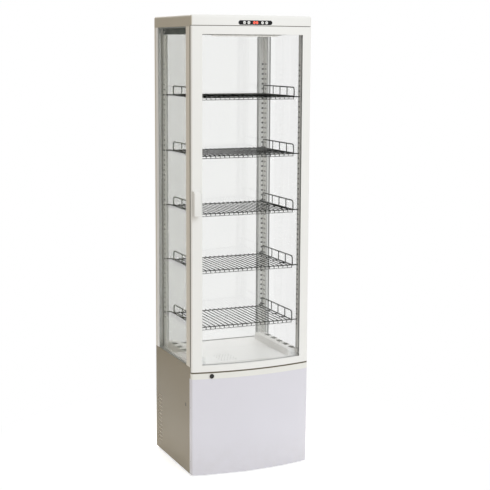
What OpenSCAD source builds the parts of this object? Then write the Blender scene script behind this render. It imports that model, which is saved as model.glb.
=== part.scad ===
// Upright refrigerated glass display case with a bowed, hinged glass door.
// Cabinet coordinates: X across, Y back from the front corners, Z up from the base's lower edge.

/* [Overall] */
// Width across the sides
cabinet_w = 515; // [430:5:640]
// Depth of a side, from the front corner to the back
side_d = 430; // [360:5:560]
// How far the front bows out at mid-width
bow = 30; // [20:1:40]
// Height from the base's lower edge to the top of the header
cabinet_h = 1845; // [1500:5:2240]
// Gap under the base's lower edge
foot_gap = 8; // [6:1:20]

/* [Base] */
// Height of the curved front panel
base_h = 400; // [340:5:480]
// Thickness of the sheet-metal panels
sheet = 1.2; // [0.8:0.1:2]
// Depth of the front panel's side returns
return_d = 25; // [15:1:40]
// Height of the moulded strip that holds the lock
strip_h = 24.5; // [22:0.5:32]
// Wall of the moulded strip
strip_wall = 3; // [2:0.5:4]
// Depth of the insulated deck under the compartment
deck_h = 115; // [100:5:125]
// Number of side louvres
louvre_count = 13; // [4:1:16]
// Distance between two louvres
louvre_pitch = 16.4; // [12:0.2:20]
// Length of a side louvre
louvre_len = 46; // [20:1:60]

/* [Door] */
// Gap above and below the door
door_gap = 2.5; // [2:0.1:4]
// Wall of the door frame behind the edges of its panes
back_wall = 1.3; // [0.8:0.1:4]
// Thickness of the flattened gasket, with its clearance
gasket_t = 4; // [3.6:0.1:6]
// Width of the gasket band
gasket_w = 14; // [10:1:16]
// Width of the door's upright stiles
stile_w = 42; // [36:1:60]
// Height of the door's top rail
top_rail_h = 32; // [28:1:50]
// Height of the door's bottom rail
bottom_rail_h = 30; // [28:1:50]
// Radius of the front vertical corners
corner_r = 8; // [7:0.5:10]
// Radius of the hinge pins
pin_r = 3; // [2:0.25:3.5]
// Depth of the hinge pins in the door
pin_depth = 14; // [10:1:20]
// Radial clearance of a running fit
running_gap = 0.05; // [0.02:0.01:0.1]

/* [Glazing] */
// Thickness of one pane
pane_t = 4; // [3:0.5:5]
// Space between the side or rear panes
pane_space = 8; // [6:0.5:10]
// Space between the door's curved panes
door_pane_space = 6; // [4:0.5:6]
// How deep a pane's edge sits in its frame
glass_rebate = 5; // [3:0.5:8]

/* [Posts] */
// Width of a front post
post_w = 25.5; // [21:0.5:31]
// Depth of the front posts
post_d = 45; // [38:1:60]
// Width of the rear posts' back leg
rear_leg_w = 46; // [44:0.5:60]
// Depth of the rear posts' back leg
rear_leg_d = 25; // [24:1:32]
// Distance between two shelf holes
hole_pitch = 21; // [15:1:30]
// Radius of a shelf hole
hole_r = 3; // [2.8:0.1:3.5]
// Height of the lowest hole above the deck, and of the post's top above the highest one
hole_margin = 132; // [100:1:180]

/* [Shelves] */
// Distance between two long wires
wire_pitch = 20; // [14:1:30]
// Radius of a long wire
long_r = 1.6; // [1.2:0.1:2]
// Radius of a frame wire
frame_r = 2.2; // [1.8:0.1:2.4]
// Gap between the wire deck and the rear glass
shelf_gap = 60; // [20:1:100]
// Height of the side guards above the wires
guard_h = 33; // [20:1:50]
// Drop of the front lip
lip_drop = 12; // [8:1:20]

/* [Header] */
// Height of the header at the front
header_h = 40; // [38:1:60]
// Length of the control panel
panel_len = 144; // [130:2:180]
// Height of the control panel
panel_h = 17; // [16:0.5:20]
// Radius of a button
button_r = 6; // [4:0.5:6]
// Travel of a button
button_travel = 1.5; // [0.8:0.1:2]

/* [Handle] */
// Height of the pull handle
handle_h = 98; // [80:2:140]
// Height of the handle's middle above the door's lower edge
handle_z = 686; // [500:1:700]
// Width of the pull handle
handle_w = 26; // [24:1:40]
// How far the handle stands in front of the front corners
handle_front = 32; // [31:1:45]
// Wall of the pull handle
handle_wall = 5; // [3:0.5:6]

/* [Hidden] */
$fn = 48;

// Overall
half_w = cabinet_w / 2;
inner_half = half_w - post_w;
bow_r = (pow(half_w, 2) + pow(bow, 2)) / (2 * bow);
bow_cy = bow_r - bow;
bow_steps = 36;
corner_steps = 6;
eps = 0.5;          // how far a cutter runs past the face that it opens
seat_gap = 0.3;     // clearance between curved or moving faces

// Door's plan
pocket_gap = 0.1;
outer_pane_in = 2;
inner_pane_in = outer_pane_in + pane_t + door_pane_space;
pane_end = inner_pane_in + pane_t;
opening_x = half_w - stile_w;
door_rebate = 12;
door_back = bow_y(opening_x + door_rebate, pane_end) + back_wall;
seal_y = door_back + gasket_t;

// Levels
strip_top = base_h + strip_h;
door_z0 = strip_top + door_gap;
deck_top = door_z0 + 20;
deck_z0 = deck_top - deck_h;
header_z = cabinet_h - header_h;
door_z1 = header_z - door_gap;
skirt_drop = 5;
post_top = header_z - skirt_drop;
tray_t = 3;
floor_z = deck_top + tray_t;
ceiling_t = 28;
ceiling_z = post_top - ceiling_t;
panel_inner = half_w - sheet;
back_inner = side_d - sheet;

// Glazing
unit_t = 2 * pane_t + pane_space;
glass_out_x = panel_inner - seat_gap;
glass_in_x = glass_out_x - unit_t;
glass_out_y = back_inner - 0.8;
glass_in_y = glass_out_y - unit_t;
front_post_back = seal_y + post_d;
rear_leg_y = side_d - rear_leg_d;
side_leg_y = rear_leg_y - 15;
rear_leg_x = half_w - rear_leg_w;
side_glass_y0 = front_post_back - glass_rebate;
side_glass_y1 = side_leg_y + glass_rebate;
rear_glass_x = rear_leg_x + glass_rebate;
glass_z0 = deck_top - glass_rebate;
glass_z1 = post_top - seat_gap;

// Shelf standards
strip_t = 1.2;
standard_z0 = floor_z + 2;
standard_z1 = ceiling_z - 2;
hole_count = floor((post_top - deck_top - 2 * hole_margin) / hole_pitch) + 1;
first_hole_z = deck_top + hole_margin;
front_hole_y = front_post_back - 11;
rear_standard_y = rear_leg_y - 35;
rear_hole_y = rear_leg_y - 20;
rear_hole_x = inner_half - 6;
channel_w = 12;
channel_d = 6;

// Shelves
shelf_count = 5;
first_shelf_hole = 1;
shelf_step = floor((hole_count - 1 - first_shelf_hole) / (shelf_count - 0.5));
hook_drop = hole_r - frame_r + 0.1 - seat_gap;
weld = 0.3;
guard_x = inner_half - 27;
wire_half = guard_x - 5;
wire_count = floor(2 * wire_half / wire_pitch) + 1;
shelf_y0 = front_hole_y - 11;
shelf_y1 = glass_in_y - shelf_gap;
guard_y0 = shelf_y0 + 6;
guard_y1 = shelf_y1 - 4;
guard_bend = 6;
hook_len = 4;
long_z = long_r + frame_r - weld;
rail_r = frame_r + 0.3;
rail_z = long_z + long_r + guard_h;
guard_bars = 3;
guard_pitch = 68;

// Header and controls
header_edge = 9;
panel_z = header_z + 11;
panel_proud = 0.8;
button_proud = 0.6;
button_len = 7;
button_gap = 0.3;
button_xs = [-47, -29, 29, 47];
display_w = 26;
display_h = 10;
display_t = 1.5;
display_y = 0.4 - bow - panel_proud;
origin_y = (side_d - max(handle_front, panel_proud + button_proud - bow_y(button_xs[1]))) / 2;
bezel_in = 2.3;     // how far the panel's box is set in from its bezel
box_inset = 14;     // how far the box reaches behind the bowed front

// Lock
lock_x = -half_w + 80;
lock_z = base_h + 11;
lock_y = bow_y(lock_x) - 3.6;
plug_r = 5.5;
housing_r = 8;
flange_r = 9.4;
flange_t = 2;
housing_len = 16;
cam_w = 10;
cam_t = 2;
cam_len = 25;
cam_y = lock_y + housing_len + 0.4;
cam_gap = 1.5;

// Hinge
hinge_inset = 8;
swing_gap = 0.37;   // clearance of the door's heel as it swings past a post
heel_y = seal_y - swing_gap;
hinge_x = half_w - hinge_inset;
hinge_y = (pow(heel_y, 2) - pow(door_back, 2) - pow(hinge_inset, 2)) / (2 * (heel_y - door_back));
hinge_plate_t = 1.5;

// Door
opening_z0 = door_z0 + bottom_rail_h;
opening_z1 = door_z1 - top_rail_h;
gasket_x = half_w - 11.5;
gasket_z0 = door_z0 + 6;
gasket_z1 = door_z1 - 6;
handle_mid = door_z0 + handle_z;

// Machine compartment
pan_t = 2;
pan_lip = 18;
foot_inset = 45;
foot_stud_r = 5;
foot_pad_r = 16;
comp_x = 127.5 - half_w;
comp_y = side_d - 175;
comp_r = 68;
comp_h = 165;
grommet_h = 12;
comp_top = pan_t + grommet_h + comp_h;
grommet_span = 62;
coil_w = 210;
coil_h = 220;
coil_x = half_w - foot_inset - foot_stud_r - 7.5 - coil_w;
coil_z = pan_t + 30;
coil_t = 34;
coil_y = back_inner - 12 - coil_t;
fan_x = coil_x + coil_w / 2;
fan_z = coil_z + coil_h / 2;
fan_r = 88;
shroud_t = 2;
shroud_d = 24;
motor_r = 28;
shaft_r = 3;
motor_gap = 8;
well_x0 = 57 - inner_half;
well_x1 = inner_half - 52;
evap_fan_r = 48;
evap_fan_x = well_x1 - evap_fan_r - 17;
well_y0 = seal_y + 45;
well_y1 = rear_leg_y - 35;
well_z = deck_z0 + 20;
evap_fan_y = (well_y0 + well_y1) / 2;

// ---------- outlines ----------

// Y of the bowed front at x, set in by a distance.
function bow_y(x, inset = 0) = bow_cy - sqrt(pow(bow_r - inset, 2) - x * x);

// Points on a circle about c, from angle a0 to a1.
function arc(c, r, a0, a1, steps) =
    [for (i = [0 : steps]) let (a = a0 + (a1 - a0) * i / steps) [c[0] + r * cos(a), c[1] + r * sin(a)]];

// Plan of the cabinet: straight back and sides, bowed front and rounded front corners.
function plan(inset, back) =
    let (
        r = max(corner_r - inset, 1),
        cx = half_w - inset - r,
        cy = bow_cy - sqrt(pow(bow_r - inset - r, 2) - cx * cx),
        a = atan2(cy - bow_cy, cx)
    )
    concat(
        arc([-cx, cy], r, -180, -180 - a, corner_steps),
        arc([0, bow_cy], bow_r - inset, -180 - a, a, bow_steps),
        arc([cx, cy], r, a, 0, corner_steps),
        [[half_w - inset, back], [inset - half_w, back]]
    );

// Curved band between two insets, cut off square at each side.
function band(inset_a, inset_b, half_x) =
    let (
        ra = bow_r - inset_a,
        rb = bow_r - inset_b,
        aa = acos(half_x / ra),
        ab = acos(half_x / rb)
    )
    concat(
        arc([0, bow_cy], ra, aa - 180, -aa, bow_steps),
        arc([0, bow_cy], rb, -ab, ab - 180, bow_steps)
    );

// Rounded bar, len long and h high, about the origin.
function pill(len, h) = concat(
    arc([(len - h) / 2, 0], h / 2, -90, 90, 12),
    arc([(h - len) / 2, 0], h / 2, 90, 270, 12)
);

// Moves cabinet coordinates to the part's own frame, at its bottom centre.
module placed() translate([0, -origin_y, foot_gap]) children();

module mirrored() mirror([1, 0, 0]) children();

module slab(x0, x1, y0, y1, z0, z1) translate([x0, y0, z0]) cube([x1 - x0, y1 - y0, z1 - z0]);

module plan_slab(inset, back, z0, z1)
    translate([0, 0, z0]) linear_extrude(z1 - z0) polygon(plan(inset, back));

module band_slab(inset_a, inset_b, half_x, z0, z1)
    translate([0, 0, z0]) linear_extrude(z1 - z0) polygon(band(inset_a, inset_b, half_x));

module rod_x(x0, x1, y, z, r) translate([x0, y, z]) rotate([0, 90, 0]) cylinder(r = r, h = x1 - x0);

module rod_y(x, y0, y1, z, r) translate([x, y0, z]) rotate([-90, 0, 0]) cylinder(r = r, h = y1 - y0);

module rod_z(x, y, z0, z1, r) translate([x, y, z0]) cylinder(r = r, h = z1 - z0);

// ---------- base ----------

module foot_places()
    for (sx = [-1, 1], y = [foot_inset, side_d - foot_inset])
        translate([sx * (half_w - foot_inset), y, 0]) children();

// Shallow sheet tray under the machine compartment.
module base_pan() color("silver") placed() {
    difference() {
        plan_slab(sheet, back_inner, 0, pan_lip);
        plan_slab(sheet + pan_t, back_inner - pan_t, pan_t, pan_lip + eps);
        foot_places() translate([0, 0, -eps]) cylinder(r = foot_stud_r + seat_gap, h = pan_t + 2 * eps);
    }
}

// Side panel with its column of louvres near the back.
module side_panel() difference() {
    union() {
        slab(panel_inner, half_w, return_d, side_d, 0, deck_top);
        slab(panel_inner, half_w, seal_y, return_d + eps, base_h, deck_top);
    }
    for (i = [0 : louvre_count - 1])
        slab(panel_inner - eps, half_w + eps, side_leg_y - 31, side_leg_y - 31 + louvre_len,
            38 + i * louvre_pitch, 43 + i * louvre_pitch);
    screw_places() rotate([0, 90, 0]) cylinder(r = 2.5, h = sheet * 2 + eps, center = true);
}

module screw_places()
    for (y = [70, side_d - 51], z = [0.7 * base_h, 20])
        translate([panel_inner + sheet / 2, y, z]) children();

module base_right_panel() color("linen") placed() side_panel();

module base_left_panel() color("linen") placed() mirrored() side_panel();

// Curved front panel, folded back at both sides.
module base_front_panel() color("lavender") placed() difference() {
    plan_slab(0, return_d, 0, base_h);
    plan_slab(sheet, return_d + eps, -eps, base_h + eps);
    for (sx = [-1, 1], z = [0.7 * base_h, 54])
        translate([sx * (panel_inner + sheet / 2), return_d - 10, z])
            rotate([0, 90, 0]) cylinder(r = 2, h = sheet * 2 + eps, center = true);
}

// Rear panel with two columns of long louvres and the cut-out for the inlet.
module base_rear_grille() color("gainsboro") placed() difference() {
    slab(-panel_inner, panel_inner, back_inner, side_d, 0, deck_top);
    for (x = [-150, 40], i = [0 : louvre_count - 1])
        slab(x, x + 160, back_inner - eps, side_d + eps, 90 + i * louvre_pitch, 98 + i * louvre_pitch);
    inlet_block(seat_gap, eps);
}

// Moulded strip between the base and the door. It is open below and behind.
module lock_strip() color("ivory") placed() difference() {
    plan_slab(0, seal_y, base_h, strip_top);
    plan_slab(strip_wall, seal_y + eps, base_h - eps, strip_top - strip_wall);
    rod_y(lock_x, -bow - 5, lock_y + housing_len, lock_z, housing_r + seat_gap);
    cam_slot(strip_top - strip_wall - eps, strip_top + eps);
}

// Slot that the lock's cam swings up through.
module cam_slot(z0, z1)
    slab(lock_x - cam_w / 2 - cam_gap, lock_x + cam_len + cam_gap,
        cam_y - cam_gap - 1, cam_y + cam_t + cam_gap + 1, z0, z1);

// Four screwed feet, each with its lock nut against the pan.
module levelling_feet() color("dimgray") placed() foot_places() {
    translate([0, 0, -foot_gap]) cylinder(r = foot_pad_r, h = foot_gap - 3);
    translate([0, 0, -3 - weld]) cylinder(r = 9, h = 3 + weld, $fn = 6);
    translate([0, 0, -1]) cylinder(r = foot_stud_r, h = 22);
}

// Foam-filled floor of the compartment, with a well for the evaporator.
module insulated_deck() color("whitesmoke") placed() difference() {
    slab(-panel_inner, panel_inner, seal_y, back_inner - seat_gap, deck_z0, deck_top);
    slab(well_x0, well_x1, well_y0, well_y1, well_z, deck_top + eps);
    for (sx = [0, 1]) mirror([sx, 0, 0])
        slab(glass_in_x - pocket_gap, glass_out_x + pocket_gap, side_glass_y0 - pocket_gap,
            side_glass_y1 + pocket_gap, glass_z0 - pocket_gap, deck_top + eps);
    slab(-rear_glass_x - pocket_gap, rear_glass_x + pocket_gap, glass_in_y - pocket_gap,
        glass_out_y + pocket_gap, glass_z0 - pocket_gap, deck_top + eps);
    translate([well_x0 + 12, well_y0 + 12, deck_z0 - eps]) cylinder(r = 6, h = deck_h);
}

duct_in_x = inner_half - 54;
air_hole_pitch = 13;
air_hole_x = 73 - duct_in_x;
air_hole_y = seal_y + 49;

// White floor tray with staggered return-air holes at the front left.
module floor_tray() color("white") placed() difference() {
    slab(-inner_half + 3, inner_half - 3, seal_y + 1, rear_leg_y - 3, deck_top, floor_z);
    for (row = [0 : 7], col = [0 : 5])
        translate([air_hole_x + air_hole_pitch * (col + (row % 2) / 2),
            air_hole_y + air_hole_pitch * row, deck_top - eps])
            cylinder(r = 3.2, h = tray_t + 2 * eps);
}

duct_h = 28;
duct_lean = 4;
duct_wall = 2;
duct_y0 = seal_y + 10;
duct_y1 = rear_leg_y - 40;
outlet_count = 5;
outlet_pitch = (duct_y1 - duct_y0 - 40) / outlet_count;

// Raised air duct along the side glass, open below, with outlets along its outer edge.
module air_duct() difference() {
    duct_solid(0, duct_y0, duct_y1, floor_z);
    duct_solid(duct_wall, duct_y0 + duct_wall, duct_y1 - duct_wall, floor_z - eps);
    for (i = [0 : outlet_count - 1])
        slab(inner_half - 26, inner_half, duct_y0 + 24 + i * outlet_pitch,
            duct_y0 + 24 + i * outlet_pitch + 0.6 * outlet_pitch, floor_z + 12, floor_z + duct_h + eps);
}

module duct_solid(wall, y0, y1, z0)
    translate([0, y1, z0]) rotate([90, 0, 0]) linear_extrude(y1 - y0) polygon([
        [duct_in_x + wall, 0], [inner_half - 4 - wall, 0],
        [inner_half - 4 - wall, duct_h - wall], [duct_in_x + duct_lean + wall, duct_h - wall]
    ]);

module right_air_duct() color("white") placed() air_duct();

module left_air_duct() color("white") placed() mirrored() air_duct();

// ---------- posts, standards and glazing ----------

module side_glass_groove()
    slab(glass_in_x - pocket_gap, glass_out_x + pocket_gap, side_glass_y0 - pocket_gap,
        side_glass_y1 + pocket_gap, deck_top - eps, post_top + eps);

// Front corner post, with a channel behind the shelf holes.
module front_post() difference() {
    slab(inner_half, half_w, seal_y, front_post_back, deck_top, post_top);
    side_glass_groove();
    slab(inner_half - eps, inner_half + channel_d, front_hole_y - channel_w / 2,
        front_hole_y + channel_w / 2, deck_top - eps, post_top + eps);
}

module front_right_post() color("linen") placed() front_post();

module front_left_post() color("linen") placed() mirrored() front_post();

// Rear corner post, an angle around the back and the side glass.
module rear_post() difference() {
    union() {
        slab(rear_leg_x, half_w, rear_leg_y, side_d, deck_top, post_top);
        slab(inner_half, half_w, side_leg_y, rear_leg_y, deck_top, post_top);
    }
    side_glass_groove();
    slab(rear_leg_x - eps, rear_glass_x + pocket_gap, glass_in_y - pocket_gap, glass_out_y + pocket_gap,
        deck_top - eps, post_top + eps);
    slab(rear_hole_x - channel_w / 2, rear_hole_x + channel_w / 2, rear_leg_y - eps,
        rear_leg_y + channel_d, deck_top - eps, post_top + eps);
}

module rear_right_post() color("linen") placed() rear_post();

module rear_left_post() color("linen") placed() mirrored() rear_post();

function hole_z(i) = first_hole_z + i * hole_pitch;

// Punched strip on the inner face of a front post.
module front_standard() difference() {
    slab(inner_half - strip_t, inner_half, seal_y + 3, front_post_back, standard_z0, standard_z1);
    for (i = [0 : hole_count - 1])
        rod_x(inner_half - strip_t - eps, inner_half + eps, front_hole_y, hole_z(i), hole_r);
}

module front_right_standard() color("silver") placed() front_standard();

module front_left_standard() color("silver") placed() mirrored() front_standard();

// Punched angle in the rear corner, with a column of holes in each leg.
module rear_standard() difference() {
    union() {
        slab(rear_leg_x, inner_half, rear_leg_y - strip_t, rear_leg_y, standard_z0, standard_z1);
        slab(inner_half - strip_t, inner_half, rear_standard_y, rear_leg_y, standard_z0, standard_z1);
    }
    for (i = [0 : hole_count - 1]) {
        rod_x(inner_half - strip_t - eps, inner_half + eps, rear_hole_y, hole_z(i), hole_r);
        rod_y(rear_hole_x, rear_leg_y - strip_t - eps, rear_leg_y + eps, hole_z(i), hole_r);
    }
}

module rear_right_standard() color("silver") placed() rear_standard();

module rear_left_standard() color("silver") placed() mirrored() rear_standard();

// Two panes of a side unit.
module side_panes()
    for (x = [glass_in_x, glass_out_x - pane_t])
        slab(x, x + pane_t, side_glass_y0, side_glass_y1, glass_z0, glass_z1);

module right_glass_panes() color("lightcyan", 0.3) placed() side_panes();

module left_glass_panes() color("lightcyan", 0.3) placed() mirrored() side_panes();

module rear_glass_panes() color("lightcyan", 0.3) placed()
    for (y = [glass_in_y, glass_out_y - pane_t])
        slab(-rear_glass_x, rear_glass_x, y, y + pane_t, glass_z0, glass_z1);

spacer_w = 4;

// Spacer bars round the edges of the side and rear units.
module glazing_spacers() color("gray") placed() {
    for (sx = [0, 1]) mirror([sx, 0, 0]) difference() {
        slab(glass_in_x + pane_t, glass_out_x - pane_t, side_glass_y0, side_glass_y1, glass_z0, glass_z1);
        slab(glass_in_x, glass_out_x, side_glass_y0 + spacer_w, side_glass_y1 - spacer_w,
            glass_z0 + spacer_w, glass_z1 - spacer_w);
    }
    difference() {
        slab(-rear_glass_x, rear_glass_x, glass_in_y + pane_t, glass_out_y - pane_t, glass_z0, glass_z1);
        slab(spacer_w - rear_glass_x, rear_glass_x - spacer_w, glass_in_y, glass_out_y,
            glass_z0 + spacer_w, glass_z1 - spacer_w);
    }
}

// ---------- header ----------

module pill_prism(len, h, y0, y1)
    translate([0, y1, panel_z]) rotate([90, 0, 0]) linear_extrude(y1 - y0) polygon(pill(len, h));

// White cap with rounded top edges, open below behind the door.
module header_shell() color("white") placed() difference() {
    union() {
        hull() for (a = [0 : 15 : 90]) {
            inset = header_edge * (1 - cos(a));
            plan_slab(inset, side_d - inset, header_z, cabinet_h - header_edge * (1 - sin(a)));
        }
        slab(-half_w, half_w, seal_y, side_d, post_top, header_z + 1);
    }
    plan_slab(2 * sheet, back_inner, header_z + 2 * sheet, cabinet_h - header_edge);
    plan_slab(header_edge + sheet, back_inner - header_edge, header_z + 2 * sheet, cabinet_h - 2 * sheet);
    slab(-panel_inner, panel_inner, seal_y, back_inner, post_top - eps, header_z + 2 * sheet + eps);
    pill_prism(panel_len - 2 * bezel_in + 2 * seat_gap, panel_h - 2 * bezel_in + 2 * seat_gap, -bow - 5, 0);
}

// Insulated ceiling on top of the posts, with its lower part between them.
module ceiling_panel() color("darkslategray") placed() {
    slab(-panel_inner, panel_inner, seal_y, back_inner, post_top, post_top + 6);
    slab(-inner_half + 2, inner_half - 2, seal_y, rear_leg_y - 2, ceiling_z, post_top);
}

lamp_half = inner_half - 82;
lamp_y0 = seal_y + 40;
lamp_w = 34;
lamp_h = 4;
lens_r = 5;

module ceiling_lamp() color("gainsboro") placed()
    slab(-lamp_half, lamp_half, lamp_y0, lamp_y0 + lamp_w, ceiling_z - lamp_h, ceiling_z);

// Half-round diffuser under the lamp's body.
module lamp_lens() color("white") placed() difference() {
    rod_x(-lamp_half + 8, lamp_half - 8, lamp_y0 + lamp_w / 2, ceiling_z - lamp_h, lens_r);
    slab(-lamp_half, lamp_half, lamp_y0 - eps, lamp_y0 + lamp_w + eps,
        ceiling_z - lamp_h, ceiling_z + lens_r);
}

// Black control panel: a curved bezel over the header's front, and its box behind the header's wall.
module control_panel() color("black") placed() difference() {
    union() {
        intersection() {
            band_slab(-panel_proud, -pocket_gap, panel_len, panel_z - panel_h, panel_z + panel_h);
            pill_prism(panel_len, panel_h, -bow - 5, 0);
        }
        intersection() {
            band_slab(-panel_proud / 2, box_inset, panel_len, panel_z - panel_h, panel_z + panel_h);
            pill_prism(panel_len - 2 * bezel_in, panel_h - 2 * bezel_in, -bow - 5, 0);
        }
    }
    for (x = button_xs)
        rod_y(x, -bow - 5, bow_y(x) - button_proud + button_len + button_travel + seat_gap, panel_z,
            button_r + button_gap);
    slab(-display_w / 2 - pocket_gap, display_w / 2 + pocket_gap, -bow - 5, display_y + display_t,
        panel_z - display_h / 2 - pocket_gap, panel_z + display_h / 2 + pocket_gap);
}

// Red filter over the display's two digits.
module display_window() color("orangered") placed()
    slab(-display_w / 2, display_w / 2, display_y, display_y + display_t,
        panel_z - display_h / 2, panel_z + display_h / 2);

module button(i) color("white") placed()
    rod_y(button_xs[i], bow_y(button_xs[i]) - panel_proud - button_proud,
        bow_y(button_xs[i]) - panel_proud - button_proud + button_len, panel_z, button_r);

module set_button() button(0);

module down_button() button(1);

module up_button() button(2);

module light_button() button(3);

// ---------- shelves ----------

// Quarter bend of a frame wire, from +X round to +Z about the origin.
module bend(r, wire) rotate([90, 0, 0]) rotate_extrude(angle = 90) translate([r, 0]) circle(r = wire);

// One chrome wire shelf: long wires on a frame, a front lip, two side guards and four hooks.
module shelf(level) color("silver") placed()
    translate([0, 0, hole_z(first_shelf_hole + level * shelf_step) - hook_drop]) {
        for (i = [0 : wire_count - 1]) {
            x = (i - (wire_count - 1) / 2) * wire_pitch;
            rod_y(x, shelf_y0, shelf_y1, long_z, long_r);
            rod_z(x, shelf_y0 + long_r, long_z - lip_drop, long_z, long_r * 0.95);
        }
        rod_x(-wire_half - 2, wire_half + 2, shelf_y0 + 0.5, long_z - lip_drop, frame_r);
        rod_x(-inner_half - hook_len, inner_half + hook_len, front_hole_y, 0, frame_r);
        rod_x(-guard_x, guard_x, guard_y1, 0, frame_r);
        for (i = [1 : guard_bars]) {
            y = guard_y0 + i * guard_pitch;
            rod_x(guard_bend - guard_x, guard_x - guard_bend, y, 0, frame_r);
            for (sx = [0, 1]) mirror([sx, 0, 0]) {
                translate([guard_x - guard_bend, y, guard_bend]) rotate([0, 90, 0]) bend(guard_bend, frame_r);
                rod_z(guard_x, y, guard_bend, rail_z, frame_r);
            }
        }
        for (sx = [0, 1]) mirror([sx, 0, 0]) {
            rod_y(guard_x, guard_y0 - 2, rear_hole_y + 2, 0, frame_r + 0.15);
            rod_x(guard_x, inner_half + hook_len, rear_hole_y, 0, frame_r);
            rod_y(guard_x, guard_y0 - 1, guard_y1 + 1, rail_z, rail_r);
            for (y = [guard_y0, guard_y1])
                rod_z(guard_x, y, 0, rail_z + frame_r / 2, rail_r - 0.1);
        }
    }

module shelf_1() shelf(0);

module shelf_2() shelf(1);

module shelf_3() shelf(2);

module shelf_4() shelf(3);

module shelf_5() shelf(4);

// ---------- machine compartment ----------

// Hermetic compressor: a domed can on a foot plate, with its terminal cover.
module compressor() color("black") placed() translate([comp_x, comp_y, pan_t + grommet_h]) {
    rotate_extrude() polygon(concat(
        [[0, 2], [comp_r - 10, 2]],
        arc([comp_r - 10, 12], 10, -90, 0, 6),
        arc([comp_r - 30, comp_h - 30], 30, 0, 90, 8),
        [[0, comp_h]]
    ));
    difference() {
        slab(-comp_r - 8, comp_r + 8, -comp_r - 8, comp_r + 8, 0, 3);
        grommet_places() translate([0, 0, -eps]) cylinder(r = 5 + seat_gap, h = 3 + 2 * eps);
    }
    slab(comp_r - 12, comp_r + 14, -22, 22, 60, 110);
}

module grommet_places()
    for (sx = [-1, 1], sy = [-1, 1]) translate([sx * grommet_span, sy * grommet_span, 0]) children();

// Rubber mounts between the pan and the compressor's foot plate.
module compressor_mounts() color("dimgray") placed() translate([comp_x, comp_y, pan_t]) grommet_places() {
    cylinder(r = 11, h = grommet_h);
    cylinder(r = 5, h = grommet_h + 8);
}

// Stack of fins crossed by tubes, filling a box len along X, deep along Y and high along Z.
module fin_block(len, deep, high, fins, rows) {
    for (i = [0 : fins - 1]) translate([i * (len - 1) / (fins - 1), 0, 0]) cube([1, deep, high]);
    for (r = [0 : rows - 1])
        rod_x(0.5, len - 0.5, deep / 2, high * (r + 0.5) / rows, 4.5);
}

module condenser_coil() color("dimgray") placed() translate([coil_x, coil_y, coil_z]) {
    fin_block(coil_w, coil_t, coil_h, 22, 5);
    translate([0, 3, -coil_z + pan_t]) cube([1, coil_t - 6, coil_z - pan_t + 1]);
    translate([coil_w - 1, 3, -coil_z + pan_t]) cube([1, coil_t - 6, coil_z - pan_t + 1]);
}

// Plate and ring that guide the air from the fan through the condenser.
module condenser_shroud() color("gray") placed() difference() {
    union() {
        slab(coil_x, coil_x + coil_w, coil_y - shroud_t, coil_y, pan_t, coil_z + coil_h);
        rod_y(fan_x, coil_y - shroud_d, coil_y, fan_z, fan_r + 7);
    }
    rod_y(fan_x, coil_y - shroud_d - eps, coil_y + eps, fan_z, fan_r + 4);
}

// Motor on its stand, with the shaft that carries the fan.
module condenser_motor() color("dimgray") placed() {
    motor_back = coil_y - shroud_d - motor_gap;
    rod_y(fan_x, motor_back - 45, motor_back, fan_z, motor_r);
    rod_y(fan_x, motor_back - 5, coil_y - 4, fan_z, shaft_r);
    slab(fan_x - 20, fan_x + 20, motor_back - 40, motor_back - 10, pan_t, fan_z);
    slab(fan_x - 40, fan_x + 40, motor_back - 40, motor_back - 10, pan_t, pan_t + 4);
}

// Hub and blades about +Z, resting on z = 0.
module fan(r, hub_r, h, blades) difference() {
    union() {
        cylinder(r = hub_r, h = h);
        for (i = [0 : blades - 1]) rotate([0, 0, i * 360 / blades])
            translate([hub_r - 3, 0, h / 2]) rotate([28, 0, 0]) translate([0, -h * 0.55, -0.8])
                cube([r - hub_r + 1, h * 1.1, 1.6]);
    }
    translate([0, 0, -eps]) cylinder(r = shaft_r + running_gap, h = h + 2 * eps);
}

module condenser_fan() color("darkgray") placed()
    translate([fan_x, coil_y - shroud_d + 2, fan_z]) rotate([-90, 0, 0]) fan(fan_r, 22, 16, 5);

module evaporator_coil() color("silver") placed() translate([well_x0 + 15, well_y0 + 25, well_z])
    fin_block(evap_fan_x - evap_fan_r - well_x0 - 35, well_y1 - well_y0 - 50, 60, 20, 3);

module evaporator_motor() color("dimgray") placed() translate([evap_fan_x, evap_fan_y, well_z]) {
    cylinder(r = 24, h = 32);
    translate([0, 0, 27]) cylinder(r = shaft_r, h = 30);
}

module evaporator_fan() color("darkgray") placed()
    translate([evap_fan_x, evap_fan_y, well_z + 36]) fan(evap_fan_r, 16, 18, 5);

melt_x0 = foot_inset + foot_stud_r + 9.5 - half_w;
melt_x1 = comp_x + comp_r + 17;
melt_y0 = 40;
melt_y1 = comp_y - comp_r - 37;
melt_h = 40;
melt_wall = 3;

// Open tray on the pan that catches and evaporates the melt water.
module evaporation_tray() color("black") placed() difference() {
    slab(melt_x0, melt_x1, melt_y0, melt_y1, pan_t, pan_t + melt_h);
    slab(melt_x0 + melt_wall, melt_x1 - melt_wall, melt_y0 + melt_wall, melt_y1 - melt_wall,
        pan_t + melt_wall, pan_t + melt_h + eps);
}

pipe_r = 4;
pipe_y = comp_y + 30;
pipe_top = comp_top + 28;

// Discharge line from the compressor to the condenser, and suction line up into the deck.
module refrigerant_pipes() color("peru") placed() {
    rod_z(comp_x, pipe_y, comp_top, pipe_top, pipe_r);
    rod_x(comp_x, coil_x - 6, pipe_y, pipe_top, pipe_r * 0.98);
    rod_y(coil_x - 6, pipe_y, coil_y + coil_t / 2, pipe_top, pipe_r);
    rod_x(coil_x - 6, coil_x - seat_gap, coil_y + coil_t / 2, pipe_top, pipe_r * 0.98);
    rod_z(comp_x - 30, comp_y, comp_top, deck_z0, pipe_r + 1);
}

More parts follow.
